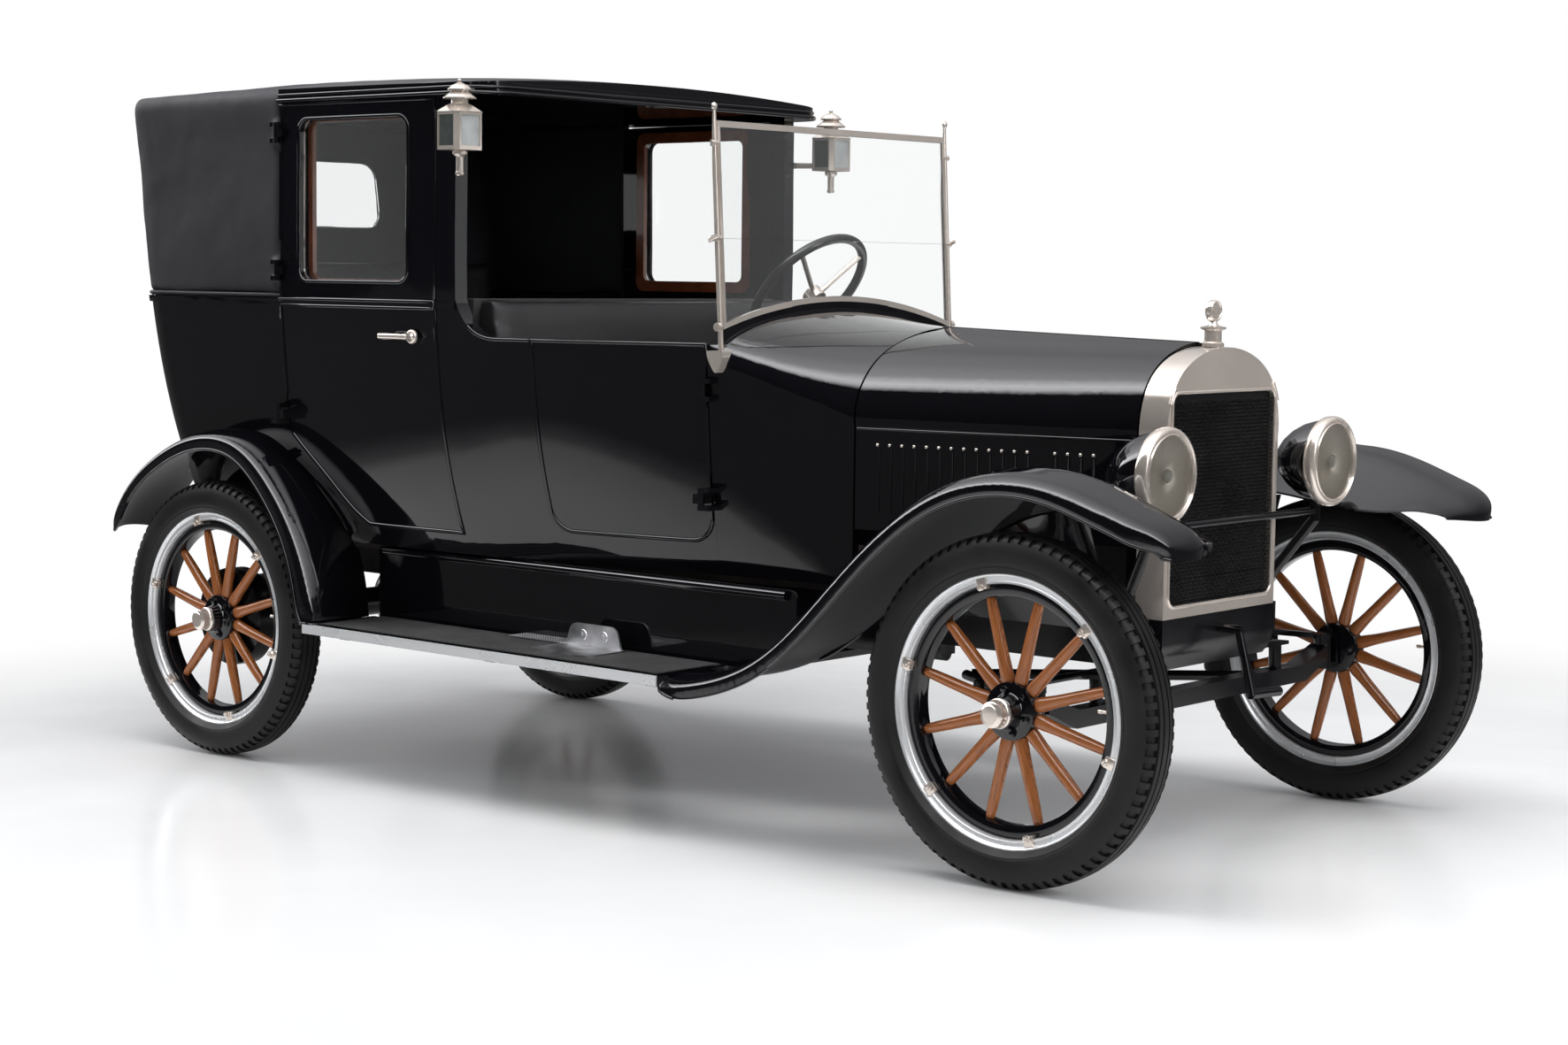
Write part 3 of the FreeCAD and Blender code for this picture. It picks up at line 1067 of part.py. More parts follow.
step = rounded([(d.step_rear, step_low), (d.step_front, step_low), (d.step_front, step_high),
                (d.step_rear, step_high)], [12, 12, 40, 40])
step_plate = extrude("step_plate_sheet", step, V(0, 0, d.board_top + FIT), FreeCAD.Rotation(),
                     d.mat_thick + d.step_sheet)
step_back = rounded([(d.step_rear + 8, d.board_top + 2), (d.step_front - 8, d.board_top + 2),
                     (d.step_front - 30, d.board_top + 66), (d.step_rear + 30, d.board_top + 66)],
                    [0, 0, 30, 30])
step_flange = side_prism("step_flange", step_back, step_low, step_low + d.step_sheet)
pair("step_plate", fuse("step_plate", [step_plate, step_flange]), SPRUNG)

# Floor, division, seats, steering
floor_z = rail_top + FIT
floor_pts = [(x, plan_half(x) - tuck(floor_z) * fade(x) - d.wall - 14) for x in
             (d.cowl_front - 20, d.front_door_front, d.front_door_rear, -700, -1500)]
floor_pts.append((d.rear_bottom_x + d.wall + 40, floor_pts[-1][1] - 60))
floor_edges = lines(floor_pts + [(x, -y) for x, y in floor_pts[::-1]])
node("floor", extrude("floor", floor_edges, V(0, 0, floor_z), FreeCAD.Rotation(), "floor_sheet"), SPRUNG)
floor_top = floor_z + d.floor_sheet
division = box("division_board", (d.pillar_rear + 10, -FAR / 2, floor_top + FIT),
               (d.pillar_front - 12, FAR / 2, d.belt))
division = common("division", division, shell_solid("division_space", d.wall + FIT))
node("division", division, SPRUNG)


def bench(name, back_x, length, top, back_top):
    edges = rounded([(back_x, floor_top + FIT), (back_x + length - 40, floor_top + FIT),
                     (back_x + length, top - 60), (back_x + length, top), (back_x + d.seat_back, top - 24),
                     (back_x + d.seat_back * 0.55, back_top), (back_x, back_top)],
                    [0, 0, 30, 40, 30, 30, 20])
    block = side_prism(name + "_block", edges, -FAR / 2, FAR / 2)
    return common(name, block, shell_solid(name + "_space", d.wall + d.seat_gap))


node("front_seat", bench("front_seat", d.pillar_front - 12 + FIT, d.front_cushion_length,
                         d.front_cushion_top, 1300), SPRUNG)
node("rear_seat", bench("rear_seat", d.rear_cushion_rear - 120, d.rear_cushion_length + 120,
                        d.rear_cushion_top, 1400), SPRUNG)

tilt = math.radians(d.column_degrees)
hub = V(d.wheel_hub_x, d.wheel_hub_y, d.wheel_hub_z)
up = V(-math.cos(tilt), 0, math.sin(tilt))
reach = d.steering_radius
rim = doc.addObject("Part::Torus", "steering_rim")
rim.setExpression("Radius1", "Sizes.steering_radius")
rim.setExpression("Radius2", "Sizes.steering_grip")
rim.Placement = FreeCAD.Placement(hub, FreeCAD.Rotation(V(0, 0, 1), up))
side_way = V(0, 1, 0)
fore_way = side_way.cross(up)
spokes = [rim]
for i in range(4):
    turn = math.pi / 4 + i * math.pi / 2
    way = side_way * math.cos(turn) + fore_way * math.sin(turn)
    spokes.append(rod("steering_spoke_%d" % i, tuple(hub - up * 30), tuple(hub + way * reach), 7))
spokes.append(rod("steering_boss", tuple(hub - up * 45), tuple(hub - up * 12), 28))
node("steering_wheel", fuse("steering_wheel", spokes), SPRUNG)
column_start = hub - up * (45 + FIT)
column_end = column_start - up * ((d.cowl_front - d.toe_back - column_start.x) / math.cos(tilt))
column = fuse("steering_column", [rod("column_tube", tuple(column_start), tuple(column_end),
                                      "column_radius"),
                                  rod("column_foot", (column_end.x, column_end.y, floor_top + FIT),
                                      (column_end.x, column_end.y, column_end.z), 26)])
node("steering_column", column, SPRUNG)

doc.recompute()
for made in doc.Objects:
    if {"Invalid", "Error"} & set(made.State):
        raise RuntimeError("%s failed: %s" % (made.Name, made.State))
os.makedirs("parts", exist_ok=True)
for name, made in nodes.items():
    shape = made.Shape
    if shape.isNull() or not shape.isValid() or not shape.Solids:
        raise RuntimeError("%s has no valid solid" % name)
for name, made in nodes.items():
    made.Shape.exportStep("parts/%s.step" % name)
print(len(nodes), "pieces")
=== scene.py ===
"""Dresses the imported 1920s town car: paint, wheels, nickel, leather, glass and the studio."""

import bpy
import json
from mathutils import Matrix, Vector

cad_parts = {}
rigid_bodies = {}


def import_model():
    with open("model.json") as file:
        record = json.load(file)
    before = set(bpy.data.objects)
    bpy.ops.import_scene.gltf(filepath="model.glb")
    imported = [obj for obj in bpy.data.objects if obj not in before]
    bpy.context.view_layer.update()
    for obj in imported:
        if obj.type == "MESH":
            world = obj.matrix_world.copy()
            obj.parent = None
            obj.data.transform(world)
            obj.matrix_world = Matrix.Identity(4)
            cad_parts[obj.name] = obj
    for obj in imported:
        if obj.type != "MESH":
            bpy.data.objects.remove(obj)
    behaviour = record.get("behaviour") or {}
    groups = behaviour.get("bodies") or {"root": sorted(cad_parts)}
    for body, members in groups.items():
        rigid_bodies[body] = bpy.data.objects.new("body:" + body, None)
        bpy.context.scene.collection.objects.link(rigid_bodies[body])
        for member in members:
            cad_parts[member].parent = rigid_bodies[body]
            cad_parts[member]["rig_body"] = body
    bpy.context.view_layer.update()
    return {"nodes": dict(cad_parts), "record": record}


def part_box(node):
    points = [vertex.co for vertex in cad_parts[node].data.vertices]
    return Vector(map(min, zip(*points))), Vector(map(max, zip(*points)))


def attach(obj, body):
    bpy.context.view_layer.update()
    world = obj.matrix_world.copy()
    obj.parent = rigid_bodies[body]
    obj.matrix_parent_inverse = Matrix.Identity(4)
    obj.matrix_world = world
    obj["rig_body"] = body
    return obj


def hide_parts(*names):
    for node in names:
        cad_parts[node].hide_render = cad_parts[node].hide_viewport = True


bl_info = {
    "name": "Town Car Dressing",
    "version": (1, 1, 0),
    "blender": (4, 5, 0),
    "location": "3D View > Sidebar > Town Car",
    "description": "Builds the looks of the town car on its packed frame",
    "category": "Object",
}

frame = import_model()

import json
import math

import bmesh
import bpy
from bpy.props import FloatProperty, FloatVectorProperty, IntProperty, PointerProperty
from mathutils import Matrix, Vector

SLOTS = {row["node"]: row["material_slot"] for row in frame["record"]["subparts"]}
RAKE = math.radians(1.15)
FORWARD = 0.051
# The body is drawn level, and stands raked on its springs
LEVEL = Matrix.Translation((FORWARD, 0, 0)) @ Matrix.Rotation(RAKE, 4, "Y")
DRAWN = LEVEL.inverted()
MM = 0.001
SIDES = (("left", 1), ("right", -1))
WHEELS = {"front_left": (1.448, 0.711), "front_right": (1.448, -0.711),
          "rear_left": (-1.346, 0.711), "rear_right": (-1.346, -0.711)}
TYRE_RADIUS = 0.393
BODY_BOTTOM = 0.604
# Place along the body and heights of each door's hinges
REAR_HINGES = (-1.157, (1.737, 1.359, 0.961))
FRONT_HINGES = (0.265, (1.075, 0.80))
HINGE_ROOM = (0.05, 0.055)
# The pad under the rear door's handle, along and up the door
HANDLE_PAD = ((-0.72, -0.57), (1.16, 1.215))
HANDLE_X, HANDLE_Z = -0.606, 1.188
# Half-widths of the hood at the dash and at the radiator, and where these are
HOOD_HALF = (0.377, 0.246)
HOOD_ENDS = (0.656, 1.384)
SHARP_EDGE = math.radians(40)
HIDE_GRID = 0.009
HIDE_PUFF = 0.007
HIDE_CLOUD = 0.16
CLOTH_FRAMES = 20
CLOTH_LIMIT = 0.009


# Settings that a user would change
def colour(name, description, default):
    return FloatVectorProperty(name=name, description=description, default=default, size=3,
                               subtype="COLOR", min=0.0, max=1.0)


class CarFinish(bpy.types.PropertyGroup):
    enamel: colour("Enamel", "Body and fender colour", (0.0030, 0.0030, 0.0042))
    chassis: colour("Chassis", "Colour of the running gear", (0.003, 0.003, 0.004))
    nickel: colour("Nickel", "Colour of the plated brightwork", (0.74, 0.665, 0.60))
    rim: colour("Rim", "Colour of the zinc plated rims", (0.66, 0.67, 0.68))
    timber: colour("Spoke timber", "Colour of the varnished spokes", (0.27, 0.088, 0.024))
    garnish: colour("Garnish", "Colour of the window garnish rails", (0.17, 0.045, 0.016))
    hide: colour("Hide", "Colour of the leather covering", (0.014, 0.014, 0.017))
    rubber: colour("Rubber", "Colour of the tyres and mats", (0.0075, 0.0075, 0.0075))
    enamel_roughness: FloatProperty(name="Enamel roughness", description="Roughness of the gloss enamel",
                                    default=0.04, min=0.0, max=1.0)


class CarSizes(bpy.types.PropertyGroup):
    bead_radius: FloatProperty(name="Bead radius", description="Radius of the door and fender beads",
                               default=0.0042, unit="LENGTH")
    tread_steps: IntProperty(name="Tread steps", default=168, min=24, max=360,
                             description="Divisions round a tyre, every second one cut")
    spokes: IntProperty(name="Spokes", description="Wooden spokes in each wheel", default=12, min=6,
                        max=16)
    clamps: IntProperty(name="Rim clamps", description="Clamps that hold each rim", default=6, min=3,
                        max=12)
    pad_grid: FloatProperty(name="Pad grid", description="Size of the remeshed grid of the seat pads",
                            default=0.008, unit="LENGTH")


class CarStudio(bpy.types.PropertyGroup):
    floor_size: FloatProperty(name="Floor size", description="Side of the studio floor",
                              default=80.0, unit="LENGTH")
    key_power: FloatProperty(name="Key light", description="Power of the overhead soft light",
                             default=262.0, unit="POWER")


# Shader building
def wire(tree, *links):
    """Joins sockets; each link names a node and its output, then a node and its input."""
    for source, gives, target, takes in links:
        tree.links.new(source.outputs[gives], target.inputs[takes])


def add(tree, kind, **values):
    """New shader node; values set attributes, or sockets where the name starts with in_."""
    node = tree.nodes.new("ShaderNode" + kind)
    for key, value in values.items():
        if key.startswith("in_"):
            node.inputs[key[3:].replace("_", " ")].default_value = value
        else:
            setattr(node, key, value)
    return node


def new_group(name, gives, **takes):
    """Empty node group with its outputs and inputs, its two inner ends and the coordinates."""
    tree = bpy.data.node_groups.new(name, "ShaderNodeTree")
    for socket, value in takes.items():
        made = tree.interface.new_socket(name=socket, in_out="INPUT", socket_type="NodeSocketFloat")
        made.default_value = value
    for socket in gives:
        tree.interface.new_socket(name=socket, in_out="OUTPUT", socket_type="NodeSocketFloat")
    ends = [tree.nodes.new(kind) for kind in ("NodeGroupInput", "NodeGroupOutput")]
    return [tree] + ends + [add(tree, "TexCoord")]


def mottle_group():
    """Soft cloudy variation and a fine grain, from Object coordinates."""
    tree, inside, out, place = new_group("Mottle", ("Value", "Fine"), Size=4.0, Grain=200.0, Low=0.0,
                                         High=1.0)
    cloud = add(tree, "TexNoise", in_Detail=6.0, in_Roughness=0.6)
    grain = add(tree, "TexNoise", in_Detail=3.0)
    spread = add(tree, "MapRange", in_From_Min=0.3, in_From_Max=0.7)
    wire(tree, (place, "Object", cloud, "Vector"), (inside, "Size", cloud, "Scale"),
         (place, "Object", grain, "Vector"), (inside, "Grain", grain, "Scale"),
         (cloud, "Fac", spread, "Value"), (inside, "Low", spread, "To Min"),
         (inside, "High", spread, "To Max"), (spread, "Result", out, "Value"), (grain, "Fac", out, "Fine"))
    return tree


def pebble_group():
    """Raised cells with fine creases between them, as on grained hide."""
    tree, inside, out, place = new_group("Pebble", ("Height",), Size=380.0)
    cells = add(tree, "TexVoronoi", feature="DISTANCE_TO_EDGE")
    soften = add(tree, "MapRange", interpolation_type="SMOOTHSTEP", in_From_Max=0.16)
    wire(tree, (place, "Object", cells, "Vector"), (inside, "Size", cells, "Scale"),
         (cells, "Distance", soften, "Value"), (soften, "Result", out, "Height"))
    return tree


def grouped(tree, name, build, **values):
    """Node of a shared group, which is built the first time."""
    node = add(tree, "Group", node_tree=bpy.data.node_groups.get(name) or build())
    for socket, value in values.items():
        node.inputs[socket].default_value = value
    return node


def mottle(tree, size, grain, low=0.0, high=1.0):
    return grouped(tree, "Mottle", mottle_group, Size=size, Grain=grain, Low=low, High=high)


def new_finish(name):
    made = bpy.data.materials.new(name)
    made.use_nodes = True
    return made, made.node_tree, made.node_tree.nodes["Principled BSDF"]


def tint_mix(tree, tint, vary):
    """Mix between a darker and a paler shade of the tint."""
    mix = add(tree, "Mix", data_type="RGBA")
    mix.inputs["A"].default_value = tuple(c * (1 - vary) for c in tint) + (1,)
    mix.inputs["B"].default_value = tuple(min(1.0, c * (1 + vary)) for c in tint) + (1,)
    return mix


def surface(name, tint, rough, metal=0.0, coat=0.0, size=3.0, grain=250.0, bump=0.0002, vary=0.25,
            rough_span=0.25, sheen=0.0, specular=0.5, pebble=0.0):
    """Finish with cloudy colour and roughness variation and a fine relief."""
    made, tree, shader = new_finish(name)
    for socket, value in (("Metallic", metal), ("Coat Weight", coat), ("Coat Roughness", 0.03),
                          ("Sheen Weight", sheen), ("Specular IOR Level", specular)):
        shader.inputs[socket].default_value = value
    cloud = mottle(tree, size, grain)
    mix = tint_mix(tree, tint, vary)
    span = add(tree, "MapRange", in_To_Min=rough * (1 - rough_span),
               in_To_Max=rough * (1 + rough_span))
    relief = add(tree, "Bump", in_Strength=0.6, in_Distance=bump)
    height = (cloud, "Fine")
    if pebble:
        height = (grouped(tree, "Pebble", pebble_group, Size=pebble), "Height")
    wire(tree, (cloud, "Value", mix, "Factor"), (mix, "Result", shader, "Base Color"),
         (cloud, "Value", span, "Value"), (span, "Result", shader, "Roughness"),
         height + (relief, "Height"), (relief, "Normal", shader, "Normal"))
    return made


def round_grain(name, centre, flat_axes, tint, rough, metal, along, across, vary, bump):
    """Finish whose grain runs outwards from an axis, as on a spoke or a brushed dish."""
    made, tree, shader = new_finish(name)
    shader.inputs["Metallic"].default_value = metal
    place = add(tree, "TexCoord")
    shift = add(tree, "Mapping")
    shift.inputs["Location"].default_value = -Vector(centre)
    parts = add(tree, "SeparateXYZ")
    first, second = flat_axes
    turn = add(tree, "Math", operation="ARCTAN2")
    flat = add(tree, "CombineXYZ")
    reach = add(tree, "VectorMath", operation="LENGTH")
    turned = add(tree, "Math", operation="MULTIPLY")
    outward = add(tree, "Math", operation="MULTIPLY")
    turned.inputs[1].default_value = across
    outward.inputs[1].default_value = along
    grain_at = add(tree, "CombineXYZ")
    grain = add(tree, "TexNoise", in_Scale=1.0, in_Detail=5.0, in_Roughness=0.65)
    mix = tint_mix(tree, tint, vary)
    spread = add(tree, "MapRange", in_From_Min=0.32, in_From_Max=0.68)
    span = add(tree, "MapRange", in_To_Min=rough * 0.75, in_To_Max=rough * 1.25)
    relief = add(tree, "Bump", in_Strength=0.5, in_Distance=bump)
    wire(tree, (place, "Object", shift, "Vector"), (shift, "Vector", parts, 0), (parts, second, turn, 0),
         (parts, first, turn, 1), (parts, first, flat, "X"), (parts, second, flat, "Y"),
         (flat, 0, reach, 0), (turn, 0, turned, 0), (reach, "Value", outward, 0),
         (turned, 0, grain_at, "X"), (outward, 0, grain_at, "Y"), (grain_at, 0, grain, "Vector"),
         (grain, "Fac", spread, "Value"), (spread, "Result", mix, "Factor"),
         (mix, "Result", shader, "Base Color"), (spread, "Result", span, "Value"),
         (span, "Result", shader, "Roughness"), (grain, "Fac", relief, "Height"),
         (relief, "Normal", shader, "Normal"))
    return made


def plate_glass():
    made, tree, shader = new_finish("Plate glass")
    shader.inputs["Base Color"].default_value = (0.985, 0.995, 0.995, 1)
    shader.inputs["Transmission Weight"].default_value = 1.0
    shader.inputs["IOR"].default_value = 1.45
    dust = mottle(tree, 7.0, 600.0, 0.0, 0.02)
    wire(tree, (dust, "Value", shader, "Roughness"))
    return made


# Each finish: its name, the slot of the trim that wears it, the tint and the roughness, or the
# settings that hold them, and where it differs from a plain surface
FINISHES = {
    "enamel": ("Black enamel", "body_black", "enamel", "enamel_roughness",
               dict(size=1.5, grain=4.0, bump=0.0010, vary=0.2, rough_span=0.5, specular=0.6)),
    "chassis": ("Chassis black", "chassis_black", "chassis", 0.2,
                dict(size=6.0, grain=160.0, bump=0.0001, vary=0.5, specular=0.4)),
    "nickel": ("Polished nickel", "nickel", "nickel", 0.15,
               dict(metal=0.7, size=5.0, grain=500.0, bump=0.00003, vary=0.08, rough_span=0.35)),
    "rim": ("Plated rim", "nickel", "rim", 0.28,
            dict(metal=0.5, size=5.0, grain=60.0, bump=0.000005, vary=0.04, rough_span=0.1)),
    "tread": ("Tread plate", "step_aluminium", (0.62, 0.62, 0.63), 0.38,
              dict(metal=1.0, size=20.0, grain=900.0, bump=0.0001)),
    "hide": ("Top leather", "hide_black", "hide", 0.5,
             dict(size=3.2, bump=0.0004, vary=0.5, specular=0.28, pebble=420.0)),
    "seat": ("Seat leather", "hide_black", (0.011, 0.011, 0.012), 0.38,
             dict(size=7.0, bump=0.0003, vary=0.4, rough_span=0.3, pebble=480.0)),
    "rubber": ("Tyre rubber", "tyre_rubber", "rubber", 0.52,
               dict(size=8.0, grain=300.0, vary=0.35, specular=0.25)),
    "garnish": ("Garnish timber", "spoke_wood", "garnish", 0.22,
                dict(size=9.0, grain=60.0, vary=0.4, coat=0.5)),
    "iron": ("Engine iron", "engine_iron", (0.03, 0.03, 0.03), 0.55,
             dict(metal=0.3, size=9.0, grain=120.0, bump=0.0006, vary=0.5)),
    "boards": ("Floor boards", "floor_wood", (0.018, 0.013, 0.010), 0.5,
               dict(size=7.0, grain=90.0, bump=0.0004, vary=0.5)),
    "cloth": ("Trim cloth", "trim_cloth", (0.018, 0.017, 0.017), 0.85,
              dict(size=5.0, grain=900.0, bump=0.0004, vary=0.35, sheen=0.3)),
    "core": ("Core black", "core_black", (0.006, 0.006, 0.006), 0.5,
             dict(size=9.0, grain=400.0, vary=0.4)),
    "grip": ("Hard rubber", None, (0.006, 0.006, 0.006), 0.22, dict(size=9.0, grain=200.0, vary=0.3)),
    "lamp_glass": ("Lamp glass", None, (0.05, 0.058, 0.055), 0.05,
                   dict(size=12.0, grain=30.0, coat=1.0, vary=0.4)),
    "frosted": ("Frosted glass", None, (0.30, 0.31, 0.31), 0.35, dict(size=14.0, grain=80.0, vary=0.3)),
    "bulb": ("Bulb glass", "clear_glass", (0.55, 0.54, 0.50), 0.25, dict(size=20.0, grain=60.0, vary=0.1)),
}


def finish(kind):
    """The finish of this kind, made the first time it is asked for."""
    if kind == "glass":
        return bpy.data.materials.get("Plate glass") or plate_glass()
    name, _, tint, rough, more = FINISHES[kind]
    settings = bpy.context.scene.car_finish
    tint, rough = (getattr(settings, v) if isinstance(v, str) else v for v in (tint, rough))
    return bpy.data.materials.get(name) or surface(name, tint, rough, **more)


# Mesh helpers
def mode(name):
    bpy.ops.object.mode_set(mode=name)


def extrude(step):
    bpy.ops.mesh.extrude_region_move(TRANSFORM_OT_translate={"value": step})


def pick(*objects):
    """Only these objects selected, the last one active."""
    if bpy.context.object and bpy.context.object.mode != "OBJECT":
        mode("OBJECT")
    bpy.ops.object.select_all(action="DESELECT")
    for o in objects:
        o.select_set(True)
    bpy.context.view_layer.objects.active = objects[-1]


def settle(obj):
    """Puts the object's place into its mesh."""
    pick(obj)
    bpy.ops.object.transform_apply(location=True, rotation=True, scale=True)
    return obj


def raised(obj):
    """The piece moved from the level drawing onto the raked body."""
    obj.matrix_world = LEVEL @ obj.matrix_world
    return obj


def paint(obj, material):
    obj.data.materials.clear()
    obj.data.materials.append(material)


def finish_piece(obj, name, kind, body="car", angle=35, slot=None):
    """Names a piece, gives it its finish and place, smooths it and lets it ride on its body."""
    obj.name = name
    obj.data.name = name
    paint(obj, finish(kind) if isinstance(kind, str) else kind)
    settle(obj)
    bpy.ops.object.shade_smooth_by_angle(angle=math.radians(angle))
    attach(obj, body)
    return obj


def finish_drawn(obj, *rest):
    """Finishes a piece that was made in the level drawing."""
    return finish_piece(raised(obj), *rest)


def node_copy(node, name):
    """Merged copy of a CAD node's mesh, as a piece of its own."""
    source = frame["nodes"][node]
    made = bpy.data.objects.new(name, source.data.copy())
    bpy.context.scene.collection.objects.link(made)
    pick(made)
    mode("EDIT")
    bpy.ops.mesh.select_all(action="SELECT")
    bpy.ops.mesh.remove_doubles(threshold=0.00002)
    mode("OBJECT")
    if made.data.has_custom_normals:
        bpy.ops.mesh.customdata_custom_splitnormals_clear()
    return made


def body_holding(node):
    return frame["nodes"][node]["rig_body"]


def dress(node, kind, angle=28):
    """The node's own shape with clean shading and its finish."""
    name = node + "_skin"
    made = finish_piece(node_copy(node, name), name, kind, body_holding(node), angle, SLOTS[node])
    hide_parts(node)
    return made


def zone(obj, kind, test):
    """Gives the finish to the faces whose centre and normal, in the level drawing, pass the test."""
    obj.data.materials.append(finish(kind))
    index = len(obj.data.materials) - 1
    turn = DRAWN.to_3x3()
    for face in obj.data.polygons:
        if test(DRAWN @ face.center, turn @ face.normal):
            face.material_index = index


def trace(points):
    """Chain of edges drawn from point to point by extruding one corner."""
    bpy.ops.object.select_all(action="DESELECT")
    bpy.ops.mesh.primitive_plane_add(size=0.01, location=points[0])
    mode("EDIT")
    bpy.ops.mesh.merge(type="CENTER")
    for here, there in zip(points, points[1:]):
        extrude(Vector(there) - Vector(here))
    bpy.ops.mesh.select_all(action="SELECT")
    return bpy.context.object


def face_out():
    """Merged corners and outward normals, back in object mode."""
    bpy.ops.mesh.select_all(action="SELECT")
    bpy.ops.mesh.remove_doubles(threshold=0.00001)
    bpy.ops.mesh.normals_make_consistent(inside=False)
    mode("OBJECT")


def lathe(points, centre, axis, steps=48, side=None):
    """Turned piece; points are (along the axis, radius) in millimetres."""
    axis, centre = Vector(axis).normalized(), Vector(centre)
    side = Vector(side) if side else axis.orthogonal().normalized()
    made = trace([centre + axis * (a * MM) + side * (r * MM) for a, r in points])
    bpy.ops.mesh.spin(steps=steps, angle=math.tau, center=centre, axis=axis)
    face_out()
    return made


def both_sides(half):
    """Closed profile from the half of it on one side of a wheel."""
    return half + [(-a, r) for a, r in half[::-1]] + half[:1]


def tube(points, radius):
    """Round bead along a line of points."""
    made = trace(points)
    bpy.ops.mesh.remove_doubles(threshold=0.00001)
    mode("OBJECT")
    return swell_edges(made, radius)


def swell_edges(obj, radius):
    """Turns loose edges into a round bead."""
    pick(obj)
    bpy.ops.object.convert(target="CURVE")
    obj.data.bevel_depth = radius
    obj.data.bevel_resolution = 2
    obj.data.use_fill_caps = True
    bpy.ops.object.convert(target="MESH")
    return obj


def plate(outline, depth):
    """Flat outline filled and pushed through by a depth."""
    made = trace(list(outline) + [outline[0]])
    bpy.ops.mesh.remove_doubles(threshold=0.00001)
    bpy.ops.mesh.edge_face_add()
    extrude(depth)
    face_out()
    return made


def rounded_outline(half_a, half_b, radius):
    """Rectangle with rounded corners, as pairs about its centre."""
    made = []
    for i, (a, b) in enumerate(((1, 1), (-1, 1), (-1, -1), (1, -1))):
        for k in range(6):
            turn = math.pi / 2 * (i + k / 5)
            made.append((a * (half_a - radius) + radius * math.cos(turn),
                         b * (half_b - radius) + radius * math.sin(turn)))
    return made


def block(low, high, bevel=0.0, segments=2):
    """Box between two corners with rounded edges."""
    bpy.ops.object.select_all(action="DESELECT")
    low, high = Vector(low), Vector(high)
    bpy.ops.mesh.primitive_cube_add(size=1.0, location=(low + high) / 2)
    made = bpy.context.object
    mode("EDIT")
    bpy.ops.transform.resize(value=high - low)
    if bevel:
        bpy.ops.mesh.bevel(offset=bevel, segments=segments, affect="EDGES")
    face_out()
    return made


def nut(centre, axis, radius, height, sides=6):
    """Bevelled nut or bolt head standing on its centre point."""
    bpy.ops.object.select_all(action="DESELECT")
    turn = Vector(axis).to_track_quat("Z", "Y").to_euler()
    middle = Vector(centre) + Vector(axis).normalized() * height / 2
    bpy.ops.mesh.primitive_cylinder_add(vertices=sides, radius=radius, depth=height, location=middle,
                                        rotation=turn)
    made = bpy.context.object
    mode("EDIT")
    bpy.ops.mesh.bevel(offset=min(radius, height) * 0.2, segments=2, affect="EDGES")
    face_out()
    return made


def squash(obj, value):
    """Scales the piece's mesh about its middle."""
    pick(obj)
    mode("EDIT")
    bpy.ops.mesh.select_all(action="SELECT")
    bpy.ops.transform.resize(value=value)
    mode("OBJECT")
    return obj


def join(objects):
    pick(*objects)
    bpy.ops.object.join()
    return bpy.context.object


def modify(obj, kind, **values):
    """Adds a modifier, gives it its settings and applies it."""
    made = obj.modifiers.new(kind.lower(), kind)
    for key, value in values.items():
        setattr(made, key, value)
    pick(obj)
    bpy.ops.object.modifier_apply(modifier=made.name)
    return obj


def carve(obj, tool, way="DIFFERENCE"):
    """Cuts the piece with the tool's shape, which is used up."""
    modify(obj, "BOOLEAN", operation=way, object=tool)
    bpy.data.objects.remove(tool)
    return obj


def part_of(node, low, high):
    """The part of a CAD node's mesh between two corners of the level drawing."""
    return carve(node_copy(node, node + "_part"), settle(raised(block(low, high))), "INTERSECT")


def twin(obj):
    """Copy of the piece with its own mesh."""
    copy = obj.copy()
    copy.data = obj.data.copy()
    bpy.context.scene.collection.objects.link(copy)
    return copy


def ring_of(obj, count, centre, first=0.0):
    """The piece repeated round a wheel's axis, joined."""
    settle(obj)
    middle = Matrix.Translation(centre)
    made = []
    for i in range(count):
        copy = twin(obj)
        copy.matrix_world = (middle @ Matrix.Rotation(first + math.tau * i / count, 4, "Y")
                             @ middle.inverted())
        made.append(settle(copy))
    bpy.data.objects.remove(obj)
    return join(made)


def repeat(obj, count, step):
    """Row of the piece at an even step."""
    return modify(obj, "ARRAY", use_relative_offset=False, use_constant_offset=True, count=count,
                  constant_offset_displace=step)


def select_where(obj, items, test):
    """Selects only the edges or faces that pass the test, in edit mode."""
    mesh = bmesh.from_edit_mesh(obj.data)
    for part in (mesh.verts, mesh.edges, mesh.faces):
        for item in part:
            item.select = False
    for item in getattr(mesh, items):
        if test(item):
            item.select_set(True)
    bmesh.update_edit_mesh(obj.data)


def edge_bead(node, name, kind, radius, keep):
    """Bead along the node's own sharp edges that pass the test, given in the level drawing."""
    turn = DRAWN.to_3x3()

    def chosen(edge):
        if len(edge.link_faces) != 2 or edge.calc_face_angle(0.0) < SHARP_EDGE:
            return False
        a, b = (turn @ face.normal for face in edge.link_faces)
        return keep(DRAWN @ ((edge.verts[0].co + edge.verts[1].co) / 2), a, b)

    source = node_copy(node, name + "_source")
    mode("EDIT")
    select_where(source, "edges", chosen)
    bpy.ops.mesh.select_mode(type="EDGE")
    bpy.ops.mesh.duplicate()
    bpy.ops.mesh.separate(type="SELECTED")
    bpy.ops.mesh.select_mode(type="VERT")
    mode("OBJECT")
    cut = [o for o in bpy.context.selected_objects if o != source][0]
    bpy.data.objects.remove(source)
    return finish_piece(swell_edges(cut, radius), name, kind, body_holding(node), 60, SLOTS[node])


